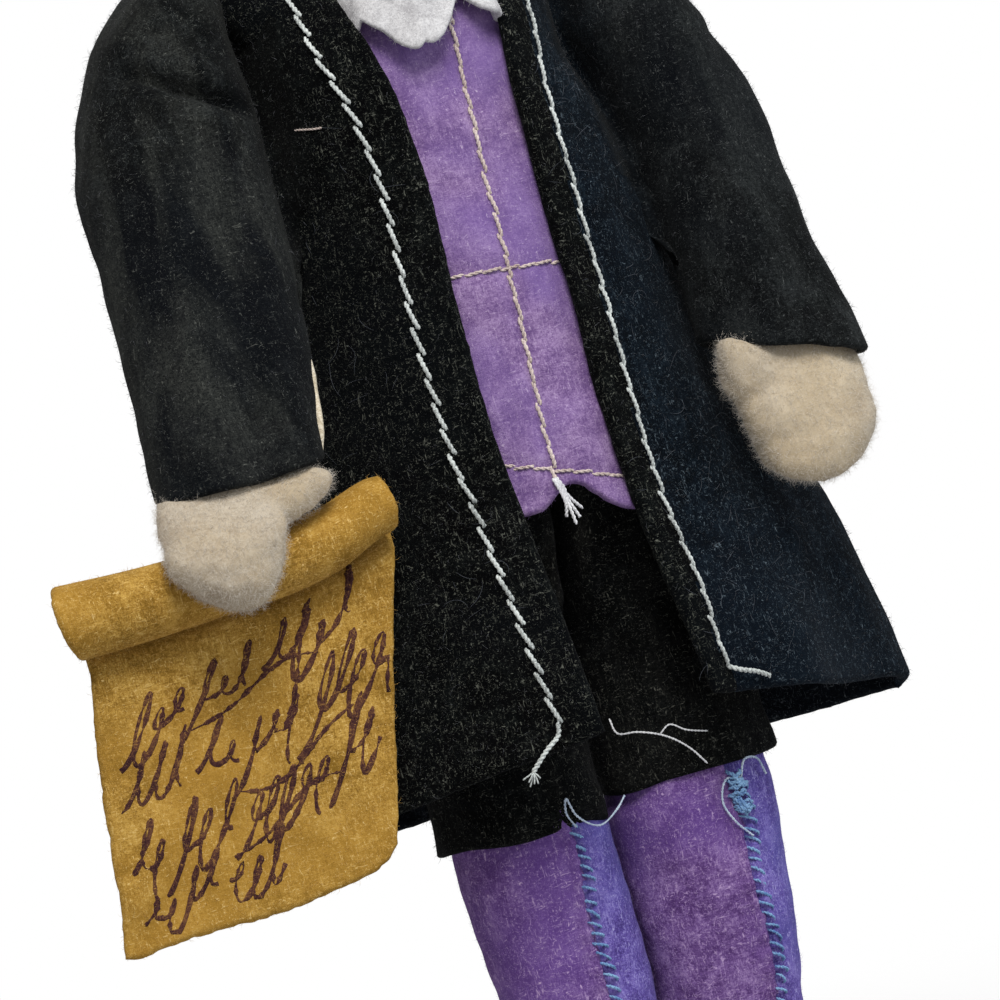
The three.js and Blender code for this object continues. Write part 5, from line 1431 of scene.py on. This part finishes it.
for name, sign in (("right", -1), ("left", 1)):
    parts = []
    c = np.array([sign * 17.2, 1.0, 148.8])
    y = np.linspace(-6.4, 6.4, 40)
    rad_ = 2.35 * np.sqrt(np.clip(1 - (np.abs(y) / 6.75) ** 5, 0.05, 1))
    a = np.linspace(0, 2 * math.pi, 40, endpoint=False)
    rings = np.stack([np.stack([c[0] + rr * np.cos(a), np.full_like(a, c[1] + yy), c[2] + rr * np.sin(a)], -1) for yy, rr in zip(y, rad_)])
    ob = lofted("hair_roll_%s_wool" % name, rings, WOOL_MAT)
    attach(ob, "head")
    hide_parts("hair_roll_" + name)
    for i in range(34):
        y0 = r.uniform(-6.0, 5.0)
        t = np.linspace(0, 1, 40)
        turns = r.uniform(0.8, 1.5)
        yy = np.clip(y0 + t * r.uniform(0.6, 2.2), -6.5, 6.5)
        rr = 2.45 * np.sqrt(np.clip(1 - (np.abs(yy) / 6.9) ** 5, 0.08, 1)) + 0.12 * r.random()
        ph = r.uniform(0, 6.28) + 2 * math.pi * turns * t
        q = np.stack([c[0] + rr * np.cos(ph), c[1] + yy, c[2] + rr * np.sin(ph)], -1)
        parts.append(tube_arrays(q, 0.3 * np.sin(math.pi * np.clip(t, 0.04, 0.96)) ** 0.5, 5))
    # coiled ends
    for e in (-6.5, 6.5):
        t = np.linspace(0, 1, 50)
        rr = 0.35 + 1.6 * t
        q = np.stack([c[0] + rr * np.cos(t * 13), np.full_like(t, c[1] + e), c[2] + rr * np.sin(t * 13)], -1)
        parts.append(tube_arrays(q, 0.36, 5))
    v, f = join_arrays(parts)
    ob = add("hair_roll_locks_" + name, v, f, WOOL_MAT)
    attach(ob, "head")

QUEUE = [[124.0, 17.9, 0.25], [124.8, 17.8, 0.9], [127, 17.6, 1.5], [132, 17.0, 1.95], [136, 16.2, 1.9], [139, 15.7, 1.6], [141, 15.4, 1.75], [143, 14.7, 1.8], [145, 13.9, 1.8], [147.0, 13.2, 1.3], [147.8, 12.9, 0.7]]
QZ = np.array(QUEUE)
zz = np.linspace(124.0, 147.8, 60)
a = np.linspace(0, 2 * math.pi, 36, endpoint=False)
rings = np.stack([np.stack([along(QZ[:, [0, 2]], z) * np.sin(a), along(QZ[:, [0, 1]], z) - along(QZ[:, [0, 2]], z) * np.cos(a), np.full_like(a, z)], -1) for z in zz])
ob = lofted("hair_queue_wool", rings, WOOL_MAT)
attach(ob, "head")
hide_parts("hair_queue")
parts = []
for i in range(26):
    ph = 2 * math.pi * i / 26 + r.normal(0, 0.08)
    zq = np.linspace(147.2, 124.2 - r.uniform(0, 0.9), 54)
    tw = ph + (143 - zq) * 0.10 + 0.1 * np.sin(zq * 1.1 + i)
    rr = along(QZ[:, [0, 2]], zq) + 0.18
    q = np.stack([rr * np.sin(tw), along(QZ[:, [0, 1]], zq) - rr * np.cos(tw), zq], -1)
    parts.append(tube_arrays(q, 0.32 * np.clip((zq - 123.4) / 2.2, 0.3, 1), 5))
v, f = join_arrays(parts)
ob = add("hair_queue_locks", v, f, WOOL_MAT)
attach(ob, "head")

# ribbon: two turns round the queue and a bow behind
parts = []
a = np.linspace(0, 2 * math.pi * 2.05, 90)
band = np.stack([2.45 * np.sin(a), 15.75 - 2.45 * np.cos(a), 138.2 + 0.75 * a / a[-1] * 1.1], -1)


def strap(path, width_dir, half_w, half_t):
    path = np.asarray(path, float)
    t = unit(np.gradient(path, axis=0))
    wdir = unit(width_dir - t * (t * width_dir).sum(-1, keepdims=True))
    nn = np.cross(t, wdir)
    pts = []
    for cs, sn in [(math.cos(q), math.sin(q)) for q in np.linspace(0, 2 * math.pi, 14, endpoint=False)]:
        e = np.sign(cs) * abs(cs) ** 0.5
        pts.append(path + wdir * (half_w * e)[..., None] + nn * (half_t * sn))
    rg = np.stack(pts, 1)
    n, m, _ = rg.shape
    v = np.concatenate([rg.reshape(-1, 3), [path[0]], [path[-1]]])
    f = [[i * m + k, i * m + (k + 1) % m, (i + 1) * m + (k + 1) % m, (i + 1) * m + k] for i in range(n - 1) for k in range(m)]
    f += [[n * m, (k + 1) % m, k] for k in range(m)] + [[n * m + 1, (n - 1) * m + k, (n - 1) * m + (k + 1) % m] for k in range(m)]
    return v, f


Z = np.array([0.0, 0.0, 1.0])
parts.append(strap(band, np.broadcast_to(Z, band.shape), np.full(len(band), 0.8), 0.16))
for sg in (-1, 1):
    t = np.linspace(0, 1, 40)
    lp = np.stack([sg * 4.6 * np.sin(math.pi * t) * (1 - 0.15 * t), 18.7 + 0.9 * np.sin(2 * math.pi * t), 138.7 + 0.9 * np.sin(2 * math.pi * t) + 0.6 * np.sin(math.pi * t)], -1)
    parts.append(strap(lp, np.broadcast_to(np.array([0, 0.25, 1.0]), lp.shape), 0.55 + 0.75 * np.sin(math.pi * t), 0.14))
    tl = np.stack([sg * (0.3 + 2.2 * t), 18.8 + 0.5 * np.sin(3 * t), 138.4 - 6.2 * t], -1)
    parts.append(strap(tl, np.broadcast_to(np.array([1.0, 0.1, 0.3 * sg]), tl.shape), 0.5 + 0.45 * t, 0.12))
parts.append(ellipsoid((0, 18.8, 138.7), (0.95, 0.75, 0.85), n=12, m=16))
v, f = join_arrays(parts)
ob = add("queue_bow", v, f, RIBBON_MAT, outward=True)
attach(ob, "head")
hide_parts("queue_ribbon")

# hanging eye: a worked ring of thread, and the stitches that hold it to the crown
t = np.linspace(0, 2 * math.pi, 130)
cx = np.stack([4.1 * np.sin(t), 0 * t, EYE + 4.1 * np.cos(t)], -1)
parts = []
for k in range(3):
    tw = t * 17 + 2 * math.pi * k / 3
    radial = np.stack([np.sin(t), 0 * t, np.cos(t)], -1)
    q = cx + radial * (0.3 * np.cos(tw))[:, None] + np.array([0, 1, 0]) * (0.3 * np.sin(tw))[:, None]
    parts.append(tube_arrays(q, 0.3, 6))
for sx, sy in ((-0.9, 0.25), (-0.3, -0.3), (0.35, 0.3), (0.95, -0.2)):
    q = spline([[sx * 1.6, sy * 3.0, EYE - 5.9], [sx, sy * 2, EYE - 4.9], [sx * 0.7, sy * 1.4, EYE - 3.5], [sx * 1.1, -sy * 1.8, EYE - 4.8], [sx * 1.5, -sy * 3.0, EYE - 5.9]], 26)
    parts += plied(q, 0.26, 0.9)
v, f = join_arrays(parts)
ob = add("hanging_eye_thread", v, f, EYELET_MAT)
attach(ob, "head")
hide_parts("hanging_eye")

# ------------------------------------------------------------------ shoes
BRASS, nt1, b1 = base_material("aged_brass", 0.32, 0.5, 0.0, 0.5, (1, 1, 1), 1.0)
tc1 = nt1.nodes.new("ShaderNodeTexCoord").outputs["Object"]
nt1.links.new(ramp(nt1, noise(nt1, tc1, 1400, 4, 0.6, 0.6), [(0.35, srgb(126, 94, 44)), (0.55, srgb(190, 154, 82)), (0.7, srgb(214, 184, 116))]), b1.inputs["Base Color"])
bp = nt1.nodes.new("ShaderNodeBump")
bp.inputs["Strength"].default_value = 0.25
bp.inputs["Distance"].default_value = 0.0001
nt1.links.new(noise(nt1, tc1, 3000, 2), bp.inputs["Height"])
nt1.links.new(bp.outputs["Normal"], b1.inputs["Normal"])
shoe_objs = {}
for name, sign in (("right", -1), ("left", 1)):
    lx, body = sign * LEG_X, name + "_leg"
    a = np.linspace(0, 2 * math.pi, 96, endpoint=False)
    # upper
    SH = [[1.5, 1.0], [3.0, 1.0], [4.6, 0.95], [6.2, 0.8], [7.6, 0.68], [9.2, 0.6], [10.2, 0.585]]
    zl = np.concatenate([[1.5, 1.6], np.linspace(1.9, 10.0, 34)])
    rings = []
    for z in zl:
        k = float(along(SH, z)) * (0.97 if z < 1.55 else 1)
        front, back = mix(5.4, 15.2, (k - 0.6) / 0.4), 6.9 - 0.8 * (1 - k)
        s, c = np.sin(a), np.cos(a)
        toe = np.where(c > 0, front * c * (1 + 0.04 * np.abs(s)), back * c)
        rings.append(np.stack([lx + (6.1 - 0.8 * (1 - k)) * np.sign(s) * np.abs(s) ** 0.92, -toe, np.full_like(a, z)], -1))
    rings = np.array(rings)
    nn = normals_of(rings.transpose(1, 0, 2), True).transpose(1, 0, 2)
    if (nn * (rings - np.array([lx, -3, 0])))[..., :2].sum() < 0:
        nn = -nn
    vamp = -0.3 * np.exp(-((rings[..., 1] + 9.2 - 0.35 * np.abs(rings[..., 0] - lx)) / 0.35) ** 2) * (rings[..., 2] > 3.0)
    rings = rings + nn * (0.12 * waves(171, 6)(rings) + vamp)[..., None]
    top = rings[-1]
    ctr = top.mean(0)
    lip = [top + (ctr - top) * d + np.array([0, 0, h]) for d, h in ((0.03, 0.22), (0.09, 0.28), (0.15, 0.1), (0.17, -0.6))]
    ob = lofted("shoe_%s_felt" % name, np.concatenate([rings, lip]), SHOE_MAT)
    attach(ob, body)
    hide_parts("shoe_" + name)
    shoe_objs[name] = ob
    # sole with a stitched welt
    rings = []
    for z, gr in ((0.0, -0.35), (0.12, -0.1), (0.4, 0.05), (0.9, 0.1), (1.25, 0.05), (1.4, -0.15)):
        yy = np.cos(a)
        rings.append(np.stack([lx + (6.3 + gr) * np.sin(a) * (1 - 0.1 * np.maximum(0, yy)), -4.2 - (11.4 + gr) * yy, np.full_like(a, z)], -1))
    ob = lofted("sole_%s_board" % name, np.array(rings), SOLE_MAT)
    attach(ob, body)
    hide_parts("sole_" + name)
    a2 = np.linspace(0, 2 * math.pi, 400)
    path = np.stack([lx + 6.12 * np.sin(a2) * (1 - 0.1 * np.maximum(0, np.cos(a2))), -4.2 - 11.15 * np.cos(a2), np.full_like(a2, 1.55)], -1)
    v, f = join_arrays(stitch_row(path, np.broadcast_to(Z, path.shape), 1.5, 0.16, 0.12, 0.0, 175, 0.3, 5, 9, 0.8))
    ob = add("sole_stitches_" + name, v, f, EYELET_MAT)
    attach(ob, body)
    # latchet strap over the instep and the buckle on it
    t = np.linspace(-1, 1, 40)
    sp = np.stack([lx + 6.2 * np.sin(t * 1.45), -3.6 - 6.5 * np.cos(t * 1.35) ** 0.9, 4.4 + 2.25 * np.cos(t * 1.45)], -1)
    v, f = strap(sp, np.broadcast_to(np.array([0, 0.5, 0.86]), sp.shape), np.full(40, 1.25), 0.35)
    ob = add("shoe_strap_" + name, v, f, SHOE_MAT, outward=True)
    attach(ob, body)
    fr = []
    for t in np.linspace(0, 2 * math.pi, 72, endpoint=False):
        cs, sn = math.cos(t), math.sin(t)
        fr.append([2.3 * np.sign(cs) * abs(cs) ** 0.45, 1.75 * np.sign(sn) * abs(sn) ** 0.45])
    fr = np.array(fr)
    rot = math.radians(27)
    ey, en_ = np.array([0, math.cos(rot), math.sin(rot)]), np.array([0, -math.sin(rot), math.cos(rot)])
    centre = np.array([lx, -11.1, 7.0]) + en_ * 0.4
    path = centre + fr[:, :1] * np.array([1.0, 0, 0]) + fr[:, 1:] * ey
    path = path - en_ * (0.035 * fr[:, :1] ** 2)
    m = len(path)
    v, _ = tube_arrays(path, 0.36, 10)
    v = v[:-2]
    f = [[i * 10 + k, i * 10 + (k + 1) % 10, ((i + 1) % m) * 10 + (k + 1) % 10, ((i + 1) % m) * 10 + k] for i in range(m) for k in range(10)]
    pin = [tube_arrays(np.stack([centre + ey * q + en_ * 0.12 for q in np.linspace(-1.75, 1.9, 12)]), 0.22, 8)]
    v, f = join_arrays([(v, f)] + pin)
    ob = add("buckle_%s_brass" % name, v, f, BRASS, outward=True)
    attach(ob, body)
    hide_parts("buckle_" + name)

# a stray white thread on the coat's chest
p, n = on_coat(np.array([-14.5, -13.9, -13.3, -12.7]), np.array([115.5, 115.3, 115.1, 115.0]), 0.16)
v, f = join_arrays(plied(spline(p, 20), 0.13, 0.9, 0, 5))
ob = add("stray_thread_chest", v, f, CREAM_MAT)
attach(ob, "torso")


# ------------------------------------------------------------------ lint and fuzz
def outward_only(centre_y=SEAM_Y):
    return lambda p, n: (n[:, 0] * p[:, 0] + n[:, 1] * (p[:, 1] - centre_y) > 0).astype(float) + 0.02


def off_the_coat(p, n):
    """Not where the sleeve's inside edge is tucked into the coat."""
    return ((np.abs(p[:, 0]) > 17.5) | (np.abs(n[:, 1]) > 0.25)).astype(float) * (np.abs(p[:, 0]) > 14.2)


def lint(name, src, count, length, radius, mat, seed, body, slot, **kw):
    ob = fuzz(name, src, count, length, radius, mat, seed, **kw)
    if ob is not None:
        if isinstance(body, str):
            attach(ob, body)
        else:
            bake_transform(ob)
    return ob


for k, key in enumerate(("right", "left", "back")):
    n = 9000 if key != "back" else 14000
    nm = "coat_front_" + key if key != "back" else "coat_back"
    lint("lint_dark_" + nm, coat_objs[key], n, 0.45, 0.016, DARK_LINT, 201 + k, "torso", "black_felt", keep=outward_only())
    lint("lint_grey_" + nm, coat_objs[key], n // 4, 0.55, 0.011, GREY_LINT, 211 + k, "torso", "black_felt", keep=outward_only(), lean=2.6, curl=1.4)
for k, key in enumerate(("right", "left")):
    lint("lint_dark_sleeve_" + key, arm_objs["sleeve_" + key], 12000, 0.45, 0.016, DARK_LINT, 221 + k, ARM_SPAN[key], "black_felt", keep=off_the_coat)
    lint("lint_grey_sleeve_" + key, arm_objs["sleeve_" + key], 2600, 0.5, 0.011, GREY_LINT, 225 + k, ARM_SPAN[key], "black_felt", lean=2.6, curl=1.4, keep=off_the_coat)
    lint("fuzz_hand_" + key, arm_objs["hand_" + key], 19000, 0.62, 0.011, CREAM_LINT, 231 + k, key + "_arm", "cream_felt", keep=lambda p, n: (p[:, 2] < 84.5).astype(float), lean=1.3)
    lint("lint_breeches_" + key, leg_objs["breeches_" + key], 8000, 0.45, 0.016, DARK_LINT, 241 + k, HIP_SPAN[key], "black_felt", keep=lambda p, n: (np.abs(p[:, 0]) > 0.4).astype(float))
    lint("lint_stocking_" + key, leg_objs["stocking_" + key], 6000, 0.34, 0.011, VIOLET_LINT, 245 + k, key + "_leg", "stocking_felt", keep=lambda p, n: (p[:, 2] < 40).astype(float), lean=1.6)
    lint("lint_shoe_" + key, shoe_objs[key], 3000, 0.35, 0.014, DARK_LINT, 249 + k, key + "_leg", "shoe_felt")
lint("lint_waistcoat", waistcoat, 6000, 0.34, 0.011, PURPLE_LINT, 251, "torso", "purple_felt", keep=lambda p, n: (n[:, 1] < 0.2).astype(float), lean=1.6)
lint("fuzz_jabot", jabot_low, 9000, 0.4, 0.012, WHITE_LINT, 253, "torso", "white_felt", lean=1.3)
lint("fuzz_jabot_upper", jabot_up, 5000, 0.4, 0.012, WHITE_LINT, 254, "torso", "white_felt", lean=1.3)
lint("lint_scroll", scroll, 18000, 0.42, 0.014, GOLD_LINT, 255, FLAP_SPAN, "mustard_felt", lean=2.0)
lint("lint_face", head_ob, 8000, 0.35, 0.012, SKIN_LINT, 256, "head", "skin_felt", keep=lambda p, n: (p[:, 2] > 137).astype(float), lean=1.6)
lint("fuzz_hair", hair_locks, 5000, 1.3, 0.03, WOOL_LINT, 257, "head", "grey_wool", lean=1.8)

# long curly hairs caught on the coat's fronts
r = np.random.default_rng(301)
for nm, sign, count, xr in (("right", -1, 40, (8.5, 26.0)), ("left", 1, 110, (8.0, 27.0))):
    parts = []
    for k in range(count):
        z0 = r.uniform(50, 116)
        x0 = sign * r.uniform(xr[0], min(xr[1], float(half_width(np.array(z0), np.array(sign))) - 2.5))
        ln, ang0 = r.gamma(2.5, 0.55) + 0.7, r.uniform(0, 2 * math.pi)
        bend, bend2 = r.normal(0, 0.3), r.normal(0, 0.2)
        st = np.linspace(0, 1, 14)
        a_ = ang0 + bend * st * ln + bend2 * (st * ln) ** 2 * 0.3
        dx, dz = np.cumsum(np.cos(a_)) * ln / 14, np.cumsum(np.sin(a_)) * ln / 14
        q, _n = on_coat(x0 + dx, z0 + dz, 0.0)
        if np.isnan(q).any():
            continue
        q = q + _n * (0.10 + 0.25 * np.sin(math.pi * st) * r.random())[:, None]
        parts.append(tube_arrays(q, r.uniform(0.013, 0.022) * (0.4 + 0.6 * np.sin(math.pi * np.clip(st, 0.05, 0.95))), 4))
    v, f = join_arrays(parts)
    ob = add("caught_hairs_" + nm, v, f, HAIR_LINT)
    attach(ob, "torso")

# ------------------------------------------------------------------ camera, light and floor
TURN, TILT, ROLL = math.radians(-18.0), math.radians(2.0), math.radians(15.3)
DIST = 0.9
r0 = Vector((math.cos(TURN), math.sin(TURN), 0))
back = Vector((math.sin(TURN) * math.cos(TILT), -math.cos(TURN) * math.cos(TILT), math.sin(TILT)))
up0 = back.cross(r0)
right_ = r0 * math.cos(ROLL) - up0 * math.sin(ROLL)
up_ = r0 * math.sin(ROLL) + up0 * math.cos(ROLL)
target = Vector((0, 0, (72.7 - EYE) / 1000)) + r0 * (-1.7 / 1000)
cam_data = bpy.data.cameras.new("camera")
cam_data.sensor_width = 36
cam_data.lens = 36 * DIST / 0.105
cam_data.clip_start, cam_data.clip_end = 0.01, 20
cam = bpy.data.objects.new("camera", cam_data)
bpy.context.scene.collection.objects.link(cam)
m = Matrix((right_, up_, back)).transposed().to_4x4()
m.translation = target + back * DIST
cam.matrix_world = m
bpy.context.scene.camera = cam

scn = bpy.context.scene
scn.view_settings.view_transform = "Standard"
scn.view_settings.look = "None"
world = bpy.data.worlds.new("studio")
scn.world = world
world.use_nodes = True
wn = world.node_tree
bg = wn.nodes["Background"]
bg.inputs["Color"].default_value = (1, 1, 1, 1)
bg.inputs["Strength"].default_value = 0.42
seen = wn.nodes.new("ShaderNodeBackground")
seen.inputs["Color"].default_value = (1, 1, 1, 1)
seen.inputs["Strength"].default_value = 1.0
lp = wn.nodes.new("ShaderNodeLightPath")
mx = wn.nodes.new("ShaderNodeMixShader")
wn.links.new(lp.outputs["Is Camera Ray"], mx.inputs[0])
wn.links.new(bg.outputs[0], mx.inputs[1])
wn.links.new(seen.outputs[0], mx.inputs[2])
wn.links.new(mx.outputs[0], wn.nodes["World Output"].inputs["Surface"])


def area_light(name, pos, aim, size, power, colour=(1, 1, 1)):
    d = bpy.data.lights.new(name, "AREA")
    d.shape = "SQUARE"
    d.size = size
    d.energy = power
    d.color = colour
    o = bpy.data.objects.new(name, d)
    o.location = pos
    o.rotation_euler = (Vector(aim) - Vector(pos)).to_track_quat("-Z", "Y").to_euler()
    bpy.context.scene.collection.objects.link(o)


area_light("key", (-0.02, -0.52, 0.48), (0, 0, -0.10), 0.30, 5.2, (1.0, 0.985, 0.955))
area_light("fill", (0.66, -0.36, -0.02), (0, 0, -0.11), 0.5, 1.5, (0.80, 0.90, 1.0))
area_light("rim", (0.25, 0.6, 0.35), (0, 0, -0.08), 0.5, 1.2)

# pale floor that fades into the white backdrop
n, steps = 72, [0.0, 0.06, 0.12, 0.2, 0.3, 0.42, 0.56]
v = [(0, 0, -EYE / 1000 - 0.0002)] + [(rr * math.cos(2 * math.pi * i / n), rr * math.sin(2 * math.pi * i / n), -EYE / 1000 - 0.0002) for rr in steps[1:] for i in range(n)]
f = [[0, 1 + i, 1 + (i + 1) % n] for i in range(n)]
for k in range(len(steps) - 2):
    f += [[1 + k * n + i, 1 + (k + 1) * n + i, 1 + (k + 1) * n + (i + 1) % n, 1 + k * n + (i + 1) % n] for i in range(n)]
FLOOR, nt2, b2 = base_material("pale_paper", 0.9, 0.1)
b2.inputs["Base Color"].default_value = (0.9, 0.9, 0.9, 1)
tc2 = nt2.nodes.new("ShaderNodeTexCoord").outputs["Object"]
far = nt2.nodes.new("ShaderNodeVectorMath")
far.operation = "LENGTH"
nt2.links.new(tc2, far.inputs[0])
rr = nt2.nodes.new("ShaderNodeMapRange")
rr.interpolation_type = "SMOOTHSTEP"
rr.inputs["From Min"].default_value = 0.09
rr.inputs["From Max"].default_value = 0.25
rr.inputs["To Min"].default_value = 1.0
rr.inputs["To Max"].default_value = 0.0
nt2.links.new(far.outputs["Value"], rr.inputs["Value"])
nt2.links.new(rr.outputs["Result"], b2.inputs["Alpha"])
floor = add("studio_floor", np.array(v), f, FLOOR, metres=True)
